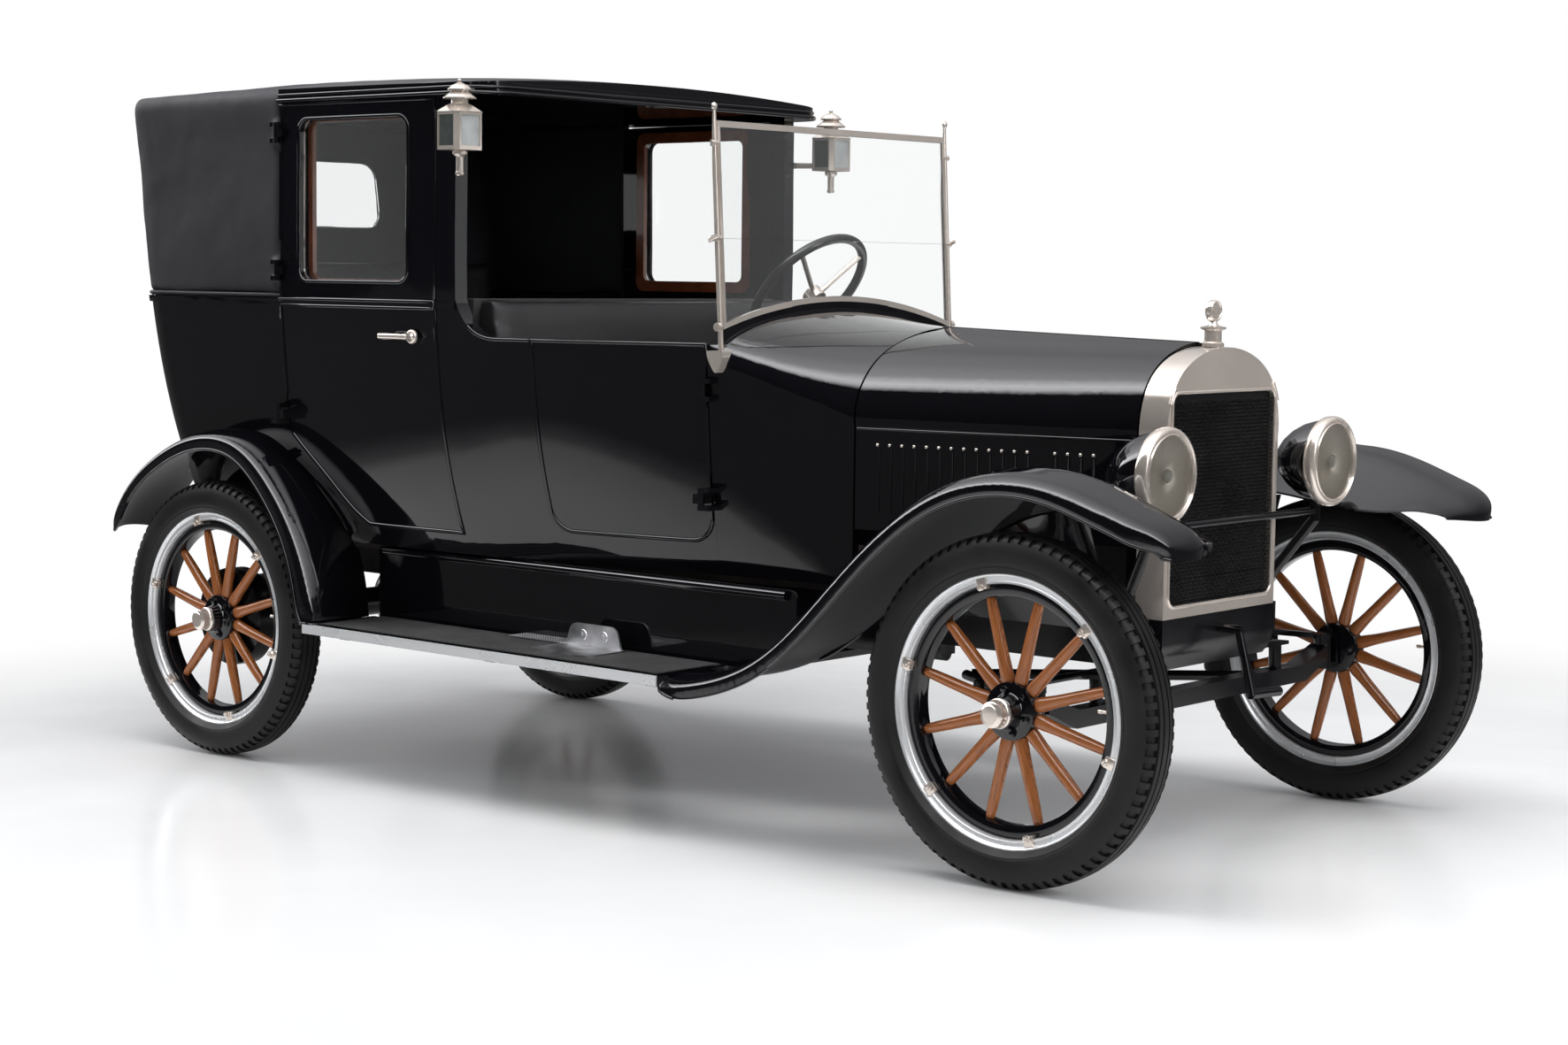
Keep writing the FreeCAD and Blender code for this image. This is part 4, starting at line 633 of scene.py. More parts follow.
# Operators, one for each group of pieces
class CAR_OT_body(bpy.types.Operator):
    """Gloss enamel on the body, doors, hood and fenders"""
    bl_idname = "car.body"
    bl_label = "Body"

    def execute(self, context):
        (x0, x1), (z0, z1) = HANDLE_PAD
        for node in frame["nodes"]:
            if SLOTS[node] != "body_black" or node.startswith("headlamp"):
                continue
            made = dress(node, "enamel")
            if node.startswith("rear_door"):
                zone(made, "nickel", lambda p, n: x0 < p.x < x1 and z0 < p.z < z1 and abs(p.y) > 0.7035)
                self.handle("left" if "left" in node else "right")
            if node.startswith("running_board"):
                zone(made, "rubber", lambda p, n: p.z > 0.3975 and n.z > 0.2)
                zone(made, "rim", lambda p, n: abs(p.y) > 0.7992)
        return {"FINISHED"}

    def handle(self, hand):
        """Turned escutcheon and a flattened teardrop lever."""
        way = 1 if hand == "left" else -1
        out = (0, way, 0)
        escutcheon = lathe([(-4, 0), (-4, 19), (2, 19), (5, 17), (6, 14), (5, 12.5), (9, 10), (13, 9),
                            (13, 0)], (HANDLE_X, way * 0.700, HANDLE_Z), out, 32)
        lever = lathe([(-9, 0), (-7, 6), (0, 8), (14, 6.4), (30, 6.2), (55, 8.2), (78, 9.4), (92, 8.6),
                       (99, 5.5), (101, 0)], (0, 0, 0), (-1, 0, 0), 20)
        settle(squash(lever, (1, 0.72, 1))).location = (HANDLE_X, way * 0.7245, HANDLE_Z)
        neck = lathe([(0, 6), (24, 6), (24, 0)], (HANDLE_X, way * 0.704, HANDLE_Z), out, 16)
        finish_drawn(join([lever, neck, escutcheon]), "door_handle_" + hand, "nickel",
                     "rear_door_" + hand, 40)


class CAR_OT_beads(bpy.types.Operator):
    """Raised beads round the doors, windows, fenders and hood"""
    bl_idname = "car.beads"
    bl_label = "Beads"

    def execute(self, context):
        radius = context.scene.car_sizes.bead_radius
        for hand, way in SIDES:
            for node in ("rear_door_" + hand, "front_door_" + hand):
                edge_bead(node, node + "_bead", "enamel", radius * 1.33, self.door_edge(way))
            edge_bead("front_fender_" + hand, "front_fender_bead_" + hand, "enamel", radius,
                      lambda p, a, b: p.y * way > 0.73 and max(a.y * way, b.y * way) > 0.5 and p.x < 1.80)
            edge_bead("rear_fender_" + hand, "rear_fender_bead_" + hand, "enamel", radius,
                      lambda p, a, b: p.y * way > 0.7855)
            line = [(x, way * (self.hood_side(x) + 0.001), 0.993) for x in (0.66, 0.84, 1.02, 1.20, 1.38)]
            finish_drawn(tube(line, 0.0035), "hood_hinge_line_" + hand, "enamel", "hood_" + hand, 60)
            line = [(x, way * 0.534, BODY_BOTTOM - 0.017) for x in (-0.905, -0.40, 0.10, 0.575)]
            finish_drawn(tube(line, 0.0125), "apron_roll_" + hand, "enamel", "car", 60)
            self.louvre_rivets(hand, way)
        self.front_side_rolls()
        self.shield_filler()
        return {"FINISHED"}

    def door_edge(self, way):
        """Test for a door's outer edges, clear of its hinges and its handle."""
        def keep(p, a, b):
            if any(abs(p.x - x) < HINGE_ROOM[0] and min(abs(p.z - z) for z in rows) < HINGE_ROOM[1]
                   for x, rows in (REAR_HINGES, FRONT_HINGES)):
                return False
            return (max(a.y * way, b.y * way) > 0.6 and min(a.y * way, b.y * way) < 0.5
                    and p.y * way > 0.45 and not (-0.72 < p.x < -0.57 and 1.15 < p.z < 1.22))
        return keep

    def hood_side(self, x):
        """Half-width of the hood at a station."""
        (wide, narrow), (back, nose) = HOOD_HALF, HOOD_ENDS
        return narrow + (wide - narrow) * (nose - x) / (nose - back)

    def louvre_rivets(self, hand, way):
        bpy.ops.object.select_all(action="DESELECT")
        bpy.ops.mesh.primitive_uv_sphere_add(segments=12, ring_count=6, radius=0.0042, location=(0, 0, 0))
        head = squash(bpy.context.object, (1.0, 0.7, 1.0))
        copies = []
        for low, high, count in ((0.717, 1.112, 13), (1.182, 1.279, 4)):
            for i in range(count):
                x = low + (high - low) * i / (count - 1)
                copy = twin(head)
                copy.location = (x, way * (self.hood_side(x) + 0.003), 0.955)
                copies.append(settle(copy))
        bpy.data.objects.remove(head)
        finish_drawn(join(copies), "louvre_rivets_" + hand, "nickel", "hood_" + hand, 60)

    def shield_filler(self):
        """Dark strip closing the gap between the windshield's arched rail and the cowl."""
        arch = [(0.464 * i / 12, 1.226 + 0.068 * (1 - (i / 12) ** 2)) for i in range(-12, 13)]
        outline = [(0.2835, y, z + 0.002) for y, z in arch]
        outline += [(0.2835, y, z - 0.022 - 0.045 * abs(y)) for y, z in arch[::-1]]
        finish_drawn(plate(outline, (0.010, 0, 0)), "shield_filler", "chassis", "car", 40, "body_black")

    def front_side_rolls(self):
        """Rolled top edge of the open front sides."""
        for node, name in (("body_tub", "side_roll"), ("front_door_left", "door_roll_left"),
                           ("front_door_right", "door_roll_right")):
            edge_bead(node, name, "enamel", 0.0055,
                      lambda p, a, b: 1.17 < p.z < 1.30 and -0.46 < p.x < 0.30 and abs(p.y) > 0.45
                      and max(a.z, b.z) > 0.7 and max(a.y * p.y, b.y * p.y) > 0.3)


class CAR_OT_chassis(bpy.types.Operator):
    """Finishes on the running gear, engine, floor and trim"""
    bl_idname = "car.chassis"
    bl_label = "Running gear"

    def execute(self, context):
        kinds = {FINISHES[kind][1]: kind for kind in ("chassis", "iron", "boards", "cloth", "core")}
        for node in frame["nodes"]:
            if SLOTS[node] in kinds:
                dress(node, kinds[SLOTS[node]])
        hub = Vector((-0.100, 0.325, 1.322))
        zone(dress("steering_wheel", "nickel"), "grip", lambda p, n: (p - hub).length > 0.171)
        return {"FINISHED"}


class CAR_OT_brightwork(bpy.types.Operator):
    """Nickel plate on the lamps, radiator shell and windshield"""
    bl_idname = "car.brightwork"
    bl_label = "Brightwork"

    def execute(self, context):
        for node in frame["nodes"]:
            if SLOTS[node] == "nickel":
                made = dress(node, "nickel", 32)
                if node.startswith("side_lamp"):
                    self.lamp_panes(made)
        edge_bead("radiator_shell", "radiator_bead", "nickel", 0.0045,
                  lambda p, a, b: p.x > 1.455 and abs(p.y) < 0.235 and 0.6 < p.z < 1.12
                  and max(a.x, b.x) > 0.7)
        self.core_mesh()
        low, high = (Vector(corner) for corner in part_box("radiator_cap"))
        centre = DRAWN @ ((low + high) / 2)
        centre.z = 1.292
        ring = lathe([(-9.5, 0), (-9.5, 21), (-8.5, 24), (-5, 25.6), (5, 25.6), (8.5, 24), (9.5, 21.5),
                      (8.4, 19.5), (7.6, 19), (7.6, 0)], centre, (1, 0, 0), 40)
        finish_drawn(ring, "gauge_ring", "nickel", "car", 40)
        return {"FINISHED"}

    def lamp_panes(self, lamp):
        """Bevelled dark glass on the sides, frosted glass front and back."""
        x, y = -0.372, math.copysign(0.742, lamp.data.vertices[0].co.y)
        low = min((DRAWN @ v.co).z for v in lamp.data.vertices)
        zone(lamp, "frosted", lambda p, n: low + 0.074 < p.z < low + 0.156
             and abs(abs(p.x - x) - 0.038) < 0.001 and abs(p.y - y) < 0.033 and abs(n.x) > 0.9)
        zone(lamp, "lamp_glass", lambda p, n: low + 0.074 < p.z < low + 0.156
             and abs(abs(p.y - y) - 0.044) < 0.001 and abs(p.x - x) < 0.029 and abs(n.y) > 0.9)

    def core_mesh(self):
        """Wavy fins laid in staggered rows across the core."""
        half, low, high, face, pitch, count = 0.225, 0.614, 1.102, 1.4565, 0.0088, 46
        rows = []
        for shift, start in ((0, low), (1, low + pitch)):
            strip = trace([(face, -half + 2 * half * i / count, start + 0.0034 * ((i + shift) % 2))
                           for i in range(count + 1)])
            extrude((0.007, 0, 0))
            modify(strip, "SOLIDIFY", thickness=0.0012, offset=0)
            rows.append(repeat(strip, int((high - start) / (2 * pitch)), (0, 0, 2 * pitch)))
        finish_drawn(join(rows), "core_fins", "core", "car", 20)


class CAR_OT_headlamps(bpy.types.Operator):
    """Black bowls, stepped nickel rims, brushed reflectors and clear lenses"""
    bl_idname = "car.headlamps"
    bl_label = "Headlamps"

    def execute(self, context):
        for hand, way in SIDES:
            centre = Vector((1.550, way * 0.367, 0.928))
            silver = round_grain("Reflector " + hand, LEVEL @ centre, "YZ", (0.72, 0.66, 0.58), 0.36, 0.35,
                                 26.0, 40.0, 0.12, 0.0001)
            for name, kind, slot, steps, angle, points in (
                    ("bowl", "enamel", None, 64, 40,
                     [(-150, 0), (-150, 10), (-147, 20), (-138, 37), (-122, 56), (-100, 74), (-72, 89),
                      (-45, 97), (-24, 101), (-19, 101), (-19, 96), (-60, 90), (-100, 66), (-140, 0)]),
                    ("rim", "nickel", None, 72, 40,
                     [(-22, 101), (-22, 106), (-17, 108.5), (-10, 109.8), (-3, 110), (3, 108.6),
                      (7, 105.5), (8.5, 102), (8.5, 100), (6.5, 98.5), (6.5, 96), (9, 94.5), (9.5, 92.5),
                      (7, 91), (2, 91), (2, 97), (-20, 97)]),
                    ("reflector", silver, "nickel", 64, 40,
                     [(2, 92), (-12, 84), (-30, 68), (-44, 50), (-54, 30), (-58, 12), (-58, 0), (-62, 0),
                      (-62, 14), (-58, 34), (-47, 54), (-32, 73), (-12, 90), (-2, 94)]),
                    ("bulb", "bulb", None, 24, 60,
                     [(-58, 0), (-58, 9), (-50, 9), (-48, 7), (-42, 12), (-34, 15), (-26, 14), (-19, 8),
                      (-16, 0)]),
                    ("lens", "glass", "clear_glass", 64, 60,
                     [(4, 91), (5.5, 80), (7.5, 60), (9.5, 38), (10.8, 18), (11.2, 0), (9.0, 0), (8.6, 18),
                      (7.3, 38), (5.2, 60), (3.0, 80), (1.8, 91)])):
                made = finish_drawn(lathe(points, centre, (1, 0, 0), steps), "lamp_%s_%s" % (name, hand),
                                    kind, "car", angle, slot)
                if name == "bowl":
                    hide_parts("headlamp_" + hand)
        return {"FINISHED"}


class CAR_OT_hide(bpy.types.Operator):
    """Leather on the upper quarter and its top, softly puffed, with piping at the hem"""
    bl_idname = "car.hide"
    bl_label = "Leather"

    def execute(self, context):
        made = join([node_copy(node, node + "_part") for node in ("upper_quarter", "quarter_top")])
        modify(made, "REMESH", mode="VOXEL", voxel_size=HIDE_GRID)
        modify(made, "SMOOTH", iterations=14)
        slack = bpy.data.textures.new("hide_slack", "CLOUDS")
        slack.noise_scale = HIDE_CLOUD
        slack.noise_depth = 2
        modify(made, "DISPLACE", texture=slack, texture_coords="LOCAL", strength=HIDE_PUFF, mid_level=0.5)
        bpy.data.textures.remove(slack)
        finish_piece(made, "quarter_hide", "hide", "car", 80)
        halves = []
        for low, high in ((0.7015, 0.750), (-0.750, -0.7015)):
            for z in REAR_HINGES[1][:2]:
                halves.append(part_of("upper_quarter", (-1.200, low, z - 0.060),
                                      (-1.130, high, z + 0.060)))
        finish_piece(join(halves), "quarter_hinges", "enamel")
        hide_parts("upper_quarter", "quarter_top")
        edge_bead("upper_quarter", "hem_piping", "hide", 0.0055,
                  lambda p, a, b: p.z < 1.33 and min(a.z, b.z) < -0.6 and (abs(p.y) > 0.66 or p.x < -1.80)
                  and max(abs(a.y), abs(b.y), abs(a.x), abs(b.x)) > 0.7)
        return {"FINISHED"}


class CAR_OT_glass(bpy.types.Operator):
    """Plate glass in the doors, windshield and back, with timber garnish rails"""
    bl_idname = "car.glass"
    bl_label = "Glass"

    def execute(self, context):
        for node in frame["nodes"]:
            if SLOTS[node] == "clear_glass":
                dress(node, "glass")
        for hand, way in SIDES:
            low, high = (DRAWN @ Vector(p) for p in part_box("rear_door_glass_" + hand))
            mid, half = (low + high) / 2, (high - low) / 2
            y = min(abs(low.y), abs(high.y)) - 0.004
            plates = []
            for wider, corner, lift, depth in ((0.016, 0.03, 0, 0.014), (-0.016, 0.02, 0.01, 0.04)):
                outline = rounded_outline(half.x + wider, half.z + wider, corner)
                plates.append(plate([(mid.x + a, way * (y + lift), mid.z + b) for a, b in outline],
                                    (0, -way * depth, 0)))
            finish_drawn(carve(*plates), "garnish_" + hand, "garnish", "rear_door_" + hand, 40)
        return {"FINISHED"}


class CAR_OT_wheels(bpy.types.Operator):
    """Treaded tyres, plated rims, wooden spokes, hubs and clamps"""
    bl_idname = "car.wheels"
    bl_label = "Wheels"

    def execute(self, context):
        sizes = context.scene.car_sizes
        tyre = self.tyre(sizes)
        for corner, (x, y) in WHEELS.items():
            way = 1 if y > 0 else -1
            centre = Vector((x, y, TYRE_RADIUS))
            end, hand = corner.split("_")
            body = "%s_wheel_%s" % (end, hand)
            copy = twin(tyre)
            copy.location = centre
            finish_piece(copy, "tyre_tread_" + corner, "rubber", body, 32)
            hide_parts("tyre_" + corner)
            self.rim(corner, centre, way, body, sizes)
            self.spokes(corner, centre, body, sizes)
            self.hub(corner, centre, way, body, end == "rear")
        bpy.data.objects.remove(tyre)
        return {"FINISHED"}

    def tyre(self, sizes):
        half = [(34, 297), (38, 303), (46, 308), (50, 315), (51.5, 316), (52.6, 318), (52.4, 321),
                (53.6, 323), (55.2, 333), (55.9, 345), (55, 357), (52, 368), (49.4, 373.5), (48.2, 376.5),
                (44.5, 382.2), (38, 386.8), (29.5, 390), (28.5, 386.5), (24, 387.2), (23, 391.2),
                (12.5, 392.4), (11.8, 388.6), (8.2, 388.8), (7.5, 392.7)]
        step = math.tau / sizes.tread_steps

        def grooved(face):
            c = face.calc_center_median()
            number = int((math.atan2(c.z, c.x) % math.tau) / step)
            odd = number % 2 if c.y > 0 else (number + 1) % 2
            return odd and 0.0300 < abs(c.y) < 0.0496 and math.hypot(c.x, c.z) > 0.374

        made = settle(lathe(both_sides(half), (0, 0, 0), (0, 1, 0), sizes.tread_steps, side=(1, 0, 0)))
        mode("EDIT")
        bpy.ops.mesh.select_all(action="SELECT")
        bpy.ops.mesh.normals_make_consistent(inside=False)
        select_where(made, "faces", grooved)
        bpy.ops.mesh.extrude_region_shrink_fatten(TRANSFORM_OT_shrink_fatten={"value": -0.006})
        face_out()
        return made

    def rim(self, corner, centre, way, body, sizes):
        band = lathe(both_sides([(37.5, 306), (39.5, 304.5), (40.5, 302), (39.5, 299.5), (36.5, 297.5),
                                 (34, 295), (33.5, 289), (35.5, 286.5), (36, 284), (34, 282), (24, 281)]),
                     centre, (0, 1, 0), 96)
        finish_piece(band, "rim_" + corner, "rim", body, 40)
        felloe = lathe(both_sides([(22, 281.5), (23, 279), (22.5, 259), (20, 254.5), (16, 253)]), centre,
                       (0, 1, 0), 96)
        finish_piece(felloe, "felloe_" + corner, "enamel", body, 40)
        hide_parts("wheel_" + corner)
        seat = centre + Vector((0, way * 0.031, 0))
        foot = centre + Vector((0.277, way * 0.037, 0))
        hook = block(seat + Vector((0.272, -0.008, -0.013)), seat + Vector((0.297, 0.008, 0.013)), 0.003)
        bolt = nut(foot, (0, way, 0), 0.0085, 0.010)
        tail = lathe([(0, 4.2), (13, 4.2), (15, 3), (15, 0)], foot, (0, way, 0), 12)
        clamps = ring_of(join([hook, bolt, tail]), sizes.clamps, centre, math.radians(17))
        finish_piece(clamps, "rim_clamps_" + corner, "nickel", body)
        stem = lathe([(-24, 0), (-24, 5.5), (-14, 5.5), (-13, 4), (2, 4), (3, 5), (12, 5), (14, 3),
                      (14, 0)], centre + Vector((0.236, way * 0.004, 0.02)), (-1, 0, 0), 14)
        finish_piece(stem, "valve_" + corner, "nickel", body, 40)

    def spokes(self, corner, centre, body, sizes):
        # Height above the axis, half-width along the rim and half-depth in millimetres
        stations = ((0.050, 13.4, 12.0), (0.066, 17.0, 13.0), (0.080, 17.2, 14.0), (0.100, 15.0, 14.5),
                    (0.130, 13.6, 15.0), (0.180, 13.4, 14.0), (0.225, 12.6, 12.5), (0.246, 11.4, 11.0),
                    (0.256, 11.0, 10.6))
        bpy.ops.object.select_all(action="DESELECT")
        start, wide, deep = stations[0]
        bpy.ops.mesh.primitive_circle_add(vertices=18, radius=1.0, fill_type="NGON",
                                          location=(0, 0, start))
        spoke = bpy.context.object
        mode("EDIT")
        bpy.ops.transform.resize(value=(wide * MM, deep * MM, 1))
        for (z0, w0, d0), (z1, w1, d1) in zip(stations, stations[1:]):
            extrude((0, 0, z1 - z0))
            bpy.ops.transform.resize(value=(w1 / w0, d1 / d0, 1))
        face_out()
        settle(spoke).location = centre
        modify(spoke, "SUBSURF", levels=1, render_levels=1)
        made = ring_of(spoke, sizes.spokes, centre, math.tau / 24)
        grain = round_grain("Spoke timber " + corner, centre, "XZ", bpy.context.scene.car_finish.timber,
                            0.2, 0.0, 14.0, 130.0, 0.6, 0.0003)
        finish_piece(made, "spokes_" + corner, grain, body, 60, "spoke_wood")

    def hub(self, corner, centre, way, body, driven):
        out = (0, way, 0)
        flange = lathe([(-28, 16), (-28, 40), (-20, 62), (-15, 65), (17, 65), (20, 64), (21.5, 61),
                        (21.5, 44), (24, 40), (30, 37), (44, 35), (54, 34), (56, 32), (56, 0)],
                       centre, out)
        bolts = ring_of(nut(centre + Vector((0.050, way * 0.0215, 0)), out, 0.0085, 0.008), 6, centre, 0.3)
        finish_piece(join([bolts, flange]), "hub_flange_" + corner, "enamel", body)
        cap = lathe([(54, 31), (58, 33.5), (62, 33.5), (64, 31), (66, 29.5), (80, 28.5), (84, 29.5),
                     (87, 29), (89, 26.5), (90.5, 22), (92.5, 20), (92.8, 12), (93, 0)], centre, out)
        finish_piece(cap, "hub_cap_" + corner, "nickel", body)
        if driven:
            drum = lathe([(-20, 34), (-20, 134), (-23, 139), (-28, 140), (-78, 140), (-80, 138),
                          (-80, 128), (-32, 128), (-32, 34)], centre, out, 64)
            finish_piece(drum, "drum_" + corner, "chassis", body)


class CAR_OT_steps(bpy.types.Operator):
    """Ribbed mats and studded step plates on the running boards"""
    bl_idname = "car.steps"
    bl_label = "Steps"

    def execute(self, context):
        for hand, way in SIDES:
            first, pitch = way * 0.5605, 0.0102
            rib = block((-0.888, first - 0.0028, 0.3995), (0.378, first + 0.0028, 0.4028), 0.0011, 1)
            finish_drawn(repeat(rib, 22, (0, way * pitch, 0)), "mat_ribs_" + hand, "rubber")
            dress("step_plate_" + hand, "tread")
            stud = nut((-0.1335, way * 0.596, 0.4060), (0, 0, 1), 0.0036, 0.0016, 4)
            repeat(repeat(stud, 24, (0.0088, 0, 0)), 15, (0, way * 0.0088, 0))
            finish_drawn(stud, "step_studs_" + hand, "tread", "car", 20)
            for x, end in ((-0.068, "rear"), (0.007, "front")):
                boss = lathe([(0, 4), (2, 4), (3, 8), (2.6, 13), (0, 14)], (x, way * 0.5900, 0.434),
                             (0, way, 0), 28)
                finish_drawn(boss, "step_scroll_%s_%s" % (hand, end), "tread")
        return {"FINISHED"}


class CAR_OT_seats(bpy.types.Operator):
    """Padded leather seats, swelled by cloth under pressure"""
    bl_idname = "car.seats"
    bl_label = "Seats"

    def execute(self, context):
        front = self.bench("front_seat", -0.4725, 0.44, 0.96, 1.30)
        rear = self.bench("rear_seat", -1.76, 0.60, 0.95, 1.40)
        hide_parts("front_seat")
        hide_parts("rear_seat")
        return {"FINISHED"}

    def bench(self, node, back_x, length, top, back_top):
        """Base and two pads, parted from the seat's own solid."""
        half = 0.70
        base = part_of(node, (back_x + 0.02, -half, 0.640), (back_x + length - 0.03, half, top - 0.17))
        finish_piece(base, node + "_base", "seat")
        cushion = part_of(node, (back_x + 0.125, -half, top - 0.165),
                          (back_x + length - 0.006, half, top - 0.008))
        self.close_pad(cushion, node + "_cushion", 0.7)
        back = part_of(node, (back_x + 0.012, -half, top - 0.004),
                       (back_x + 0.130, half, back_top - 0.008))
        self.close_pad(back, node + "_cushion_back", 0.8)
        return base

    def close_pad(self, pad, name, fill):
        modify(settle(pad), "REMESH", mode="VOXEL", voxel_size=bpy.context.scene.car_sizes.pad_grid)
        self.swell(pad)
        modify(pad, "SMOOTH", iterations=6)
        finish_piece(pad, name, "seat", "car", 80)

    def swell(self, pad):
        """Cloth under pressure, held to a small bulge."""
        scene = bpy.context.scene
        rest = [v.co.copy() for v in pad.data.vertices]
        cloth = pad.modifiers.new("cloth", "CLOTH")
        cloth.settings.use_pressure = True
        cloth.settings.uniform_pressure_force = 4.0
        cloth.settings.effector_weights.gravity = 0.0
        cloth.point_cache.frame_start = 1
        cloth.point_cache.frame_end = CLOTH_FRAMES
        for step in range(1, CLOTH_FRAMES + 1):
            scene.frame_set(step)
        ready = pad.evaluated_get(bpy.context.evaluated_depsgraph_get())
        moved = [v.co.copy() for v in ready.data.vertices]
        pad.modifiers.remove(cloth)
        scene.frame_set(1)
        for vertex, start, end in zip(pad.data.vertices, rest, moved):
            way = end - start
            if way.length > CLOTH_LIMIT:
                way = way.normalized() * CLOTH_LIMIT
            vertex.co = start + way


class CAR_OT_roof(bpy.types.Operator):
    """Drip mouldings round the front roof"""
    bl_idname = "car.roof"
    bl_label = "Roof"

    def execute(self, context):
        seam, front = -1.152, -0.345
        for number, (out, z, radius) in enumerate(((0.0055, 1.8235, 0.0055), (0.0005, 1.8385, 0.0045),
                                                   (-0.003, 1.8500, 0.0035))):
            half, nose, corner = 0.702 + out, front + out, 0.120 + out
            points = [(seam + (nose - corner - seam) * i / 8, -half, z) for i in range(8)]
            points += [(nose - corner + corner * math.sin(t), -half + corner - corner * math.cos(t), z)
                       for t in (math.pi / 2 * k / 8 for k in range(9))]
            points += [(x, -y, z) for x, y, z in points[::-1]]
            finish_drawn(tube(points, radius), "roof_moulding_%d" % number, "enamel", "car", 60)
        return {"FINISHED"}


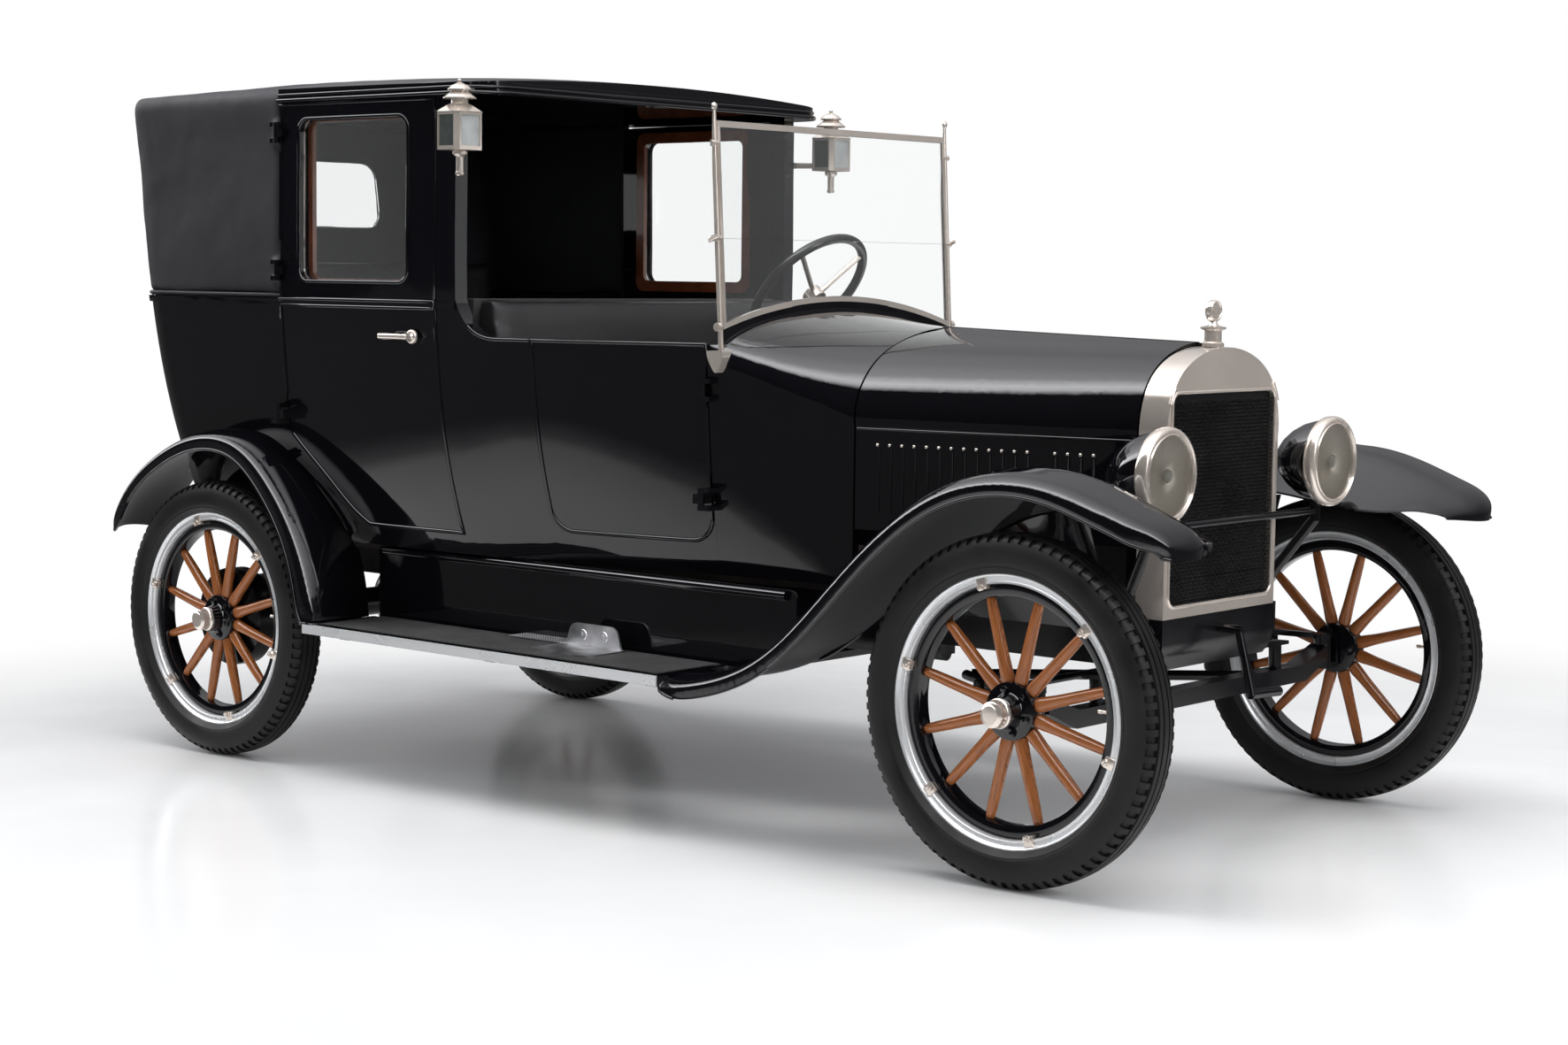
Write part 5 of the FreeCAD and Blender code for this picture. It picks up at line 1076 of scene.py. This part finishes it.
class CAR_OT_stage(bpy.types.Operator):
    """Floor, soft lights, world and camera"""
    bl_idname = "car.stage"
    bl_label = "Studio"

    def execute(self, context):
        scene = context.scene
        scene.view_settings.view_transform = "Standard"
        bpy.ops.object.select_all(action="DESELECT")
        bpy.ops.mesh.primitive_plane_add(size=scene.car_studio.floor_size, location=(0, 0, 0))
        floor = context.object
        floor.name = "studio_floor"
        paint(floor, self.floor_finish())
        self.lights(scene)
        self.world(scene)
        self.camera(scene)
        return {"FINISHED"}

    def floor_finish(self):
        """Pale floor that runs into white for the camera; in what the car reflects it shows a painted
        reflection, a glow that ends darkly.
        """
        made, tree, shader = new_finish("Studio floor")
        shader.inputs["Base Color"].default_value = (0.93, 0.93, 0.935, 1)
        shader.inputs["Specular IOR Level"].default_value = 0.5
        place = add(tree, "TexCoord")
        centre = add(tree, "VectorMath", operation="LENGTH")
        fade = add(tree, "MapRange", interpolation_type="SMOOTHSTEP", in_From_Min=1.9,
                   in_From_Max=4.2)
        # Painted reflection: beyond 1.9 m glossy rays see a glow instead of the lit floor, 0.70 strong,
        # dimming to 0.10 from 3.0 to 3.4 m
        edge = add(tree, "MapRange", interpolation_type="SMOOTHSTEP", in_From_Min=3.0,
                   in_From_Max=3.4, in_To_Min=0.70, in_To_Max=0.10)
        ray = add(tree, "LightPath")
        clear = add(tree, "Math", operation="MAXIMUM")
        seen = add(tree, "Math", operation="MULTIPLY")
        mirror = add(tree, "Math", operation="MULTIPLY")
        white = add(tree, "Emission", in_Strength=1.0, in_Color=(1, 1, 1, 1))
        painted_reflection_glow = add(tree, "Emission")
        mix = add(tree, "MixShader")
        last = add(tree, "MixShader")
        cloud = mottle(tree, 1.2, 40.0, 0.12, 0.24)
        wire(tree, (place, "Object", centre, 0), (centre, "Value", fade, "Value"),
             (centre, "Value", edge, "Value"), (ray, "Is Camera Ray", clear, 0),
             (ray, "Is Transmission Ray", clear, 1), (clear, "Value", seen, 0), (fade, "Result", seen, 1),
             (ray, "Is Glossy Ray", mirror, 0), (fade, "Result", mirror, 1),
             (edge, "Result", painted_reflection_glow, "Strength"), (seen, "Value", mix, "Fac"), (shader, "BSDF", mix, 1),
             (white, "Emission", mix, 2), (mirror, "Value", last, "Fac"), (mix, "Shader", last, 1),
             (painted_reflection_glow, "Emission", last, 2), (last, "Shader", tree.nodes["Material Output"], "Surface"),
             (cloud, "Value", shader, "Roughness"))
        return made

    def lights(self, scene):
        for name, place, target, size, share in (
                ("overhead", (0.4, -0.9, 5.4), (0.0, 0.0, 0.6), (6.4, 2.2), 1.0),
                ("front", (6.4, 0.6, 2.6), (1.2, 0.0, 0.9), (1.6, 2.6), 0.42),
                ("rear", (-6.0, 2.0, 3.2), (-1.0, 0.0, 1.0), (2.4, 2.4), 0.30)):
            lamp = bpy.data.lights.new(name, "AREA")
            lamp.shape = "RECTANGLE"
            lamp.size, lamp.size_y = size
            lamp.energy = scene.car_studio.key_power * share
            holder = bpy.data.objects.new(name, lamp)
            holder.location = place
            holder.visible_glossy = False
            holder.rotation_euler = (Vector(target) - Vector(place)).to_track_quat("-Z", "Y").to_euler()
            scene.collection.objects.link(holder)

    def world(self, scene):
        """White behind the car, soft light on it, and a tall soft box for what it reflects."""
        world = bpy.data.worlds.new("Studio")
        scene.world = world
        world.use_nodes = True
        tree = world.node_tree
        back = tree.nodes["Background"]
        back.inputs["Color"].default_value = (1, 1, 1, 1)
        back.inputs["Strength"].default_value = 1.0
        soft = add(tree, "Background", in_Strength=0.78, in_Color=(0.97, 0.985, 1.0, 1))
        gloss = add(tree, "Background", in_Strength=8.5)
        place = add(tree, "TexCoord")
        split = add(tree, "SeparateXYZ")
        near = add(tree, "Math", operation="MULTIPLY")
        near.inputs[1].default_value = -1.0
        arch = add(tree, "Math", operation="ARCTAN2")
        share = add(tree, "MapRange", in_From_Max=math.pi)
        ramp = add(tree, "ValToRGB")
        low, high = ramp.color_ramp.elements
        low.position, low.color = 0.0, (0.002, 0.002, 0.0023, 1)
        high.position, high.color = 1.0, (0.012, 0.012, 0.013, 1)
        for position, level in ((0.27, 0.004), (0.31, 0.85), (0.34, 1.0), (0.41, 0.42), (0.52, 0.24),
                                (0.68, 0.10), (0.86, 0.04)):
            step = ramp.color_ramp.elements.new(position)
            step.color = (level, level, level * 1.03, 1)
        ray = add(tree, "LightPath")
        seen = add(tree, "Math", operation="MAXIMUM")
        mix = add(tree, "MixShader")
        last = add(tree, "MixShader")
        wire(tree, (place, "Generated", split, 0), (split, "Y", near, 0), (split, "Z", arch, 0),
             (near, "Value", arch, 1), (arch, "Value", share, "Value"), (share, "Result", ramp, "Fac"),
             (ramp, "Color", gloss, "Color"), (ray, "Is Camera Ray", seen, 0),
             (ray, "Is Transmission Ray", seen, 1), (ray, "Is Glossy Ray", mix, "Fac"),
             (soft, 0, mix, 1), (gloss, 0, mix, 2), (seen, "Value", last, "Fac"), (mix, 0, last, 1),
             (back, 0, last, 2), (last, 0, tree.nodes["World Output"], "Surface"))

    def camera(self, scene):
        data = bpy.data.cameras.new("photo_view")
        data.sensor_width = 36.0
        data.lens = 61.46
        data.clip_end = 200.0
        camera = bpy.data.objects.new("photo_view", data)
        scene.collection.objects.link(camera)
        yaw, pitch, roll = (math.radians(v) for v in (130.82, -4.59, -0.16))
        ahead = Vector((math.cos(yaw) * math.cos(pitch), math.sin(yaw) * math.cos(pitch), math.sin(pitch)))
        across = ahead.cross(Vector((0, 0, 1))).normalized()
        rise = across.cross(ahead)
        right = across * math.cos(roll) + rise * math.sin(roll)
        top = rise * math.cos(roll) - across * math.sin(roll)
        turn = Matrix((right, top, -ahead)).transposed()
        camera.matrix_world = Matrix.Translation((4.865, -5.438, 1.274)) @ turn.to_4x4()
        scene.camera = camera


class CAR_PT_panel(bpy.types.Panel):
    """Lists the dressing steps and the settings"""
    bl_label = "Town Car"
    bl_idname = "CAR_PT_panel"
    bl_space_type = "VIEW_3D"
    bl_region_type = "UI"
    bl_category = "Town Car"

    def draw(self, context):
        for step in STEPS:
            self.layout.operator("car." + step)
        for group in (context.scene.car_finish, context.scene.car_sizes, context.scene.car_studio):
            for name in group.bl_rna.properties.keys():
                if name not in ("rna_type", "name"):
                    self.layout.prop(group, name)


STEPS = ("body", "beads", "chassis", "brightwork", "headlamps", "hide", "glass", "wheels", "steps",
         "seats", "roof", "stage")
CLASSES = (CarFinish, CarSizes, CarStudio, CAR_OT_body, CAR_OT_beads, CAR_OT_chassis, CAR_OT_brightwork,
           CAR_OT_headlamps, CAR_OT_hide, CAR_OT_glass, CAR_OT_wheels, CAR_OT_steps, CAR_OT_seats,
           CAR_OT_roof, CAR_OT_stage, CAR_PT_panel)


def register():
    for item in CLASSES:
        bpy.utils.register_class(item)
    bpy.types.Scene.car_finish = PointerProperty(type=CarFinish)
    bpy.types.Scene.car_sizes = PointerProperty(type=CarSizes)
    bpy.types.Scene.car_studio = PointerProperty(type=CarStudio)


def unregister():
    del bpy.types.Scene.car_studio
    del bpy.types.Scene.car_sizes
    del bpy.types.Scene.car_finish
    for item in reversed(CLASSES):
        bpy.utils.unregister_class(item)


def main():
    register()
    bpy.ops.object.select_all(action="DESELECT")
    for step in STEPS:
        getattr(bpy.ops.car, step)()


if __name__ == "__main__":
    main()
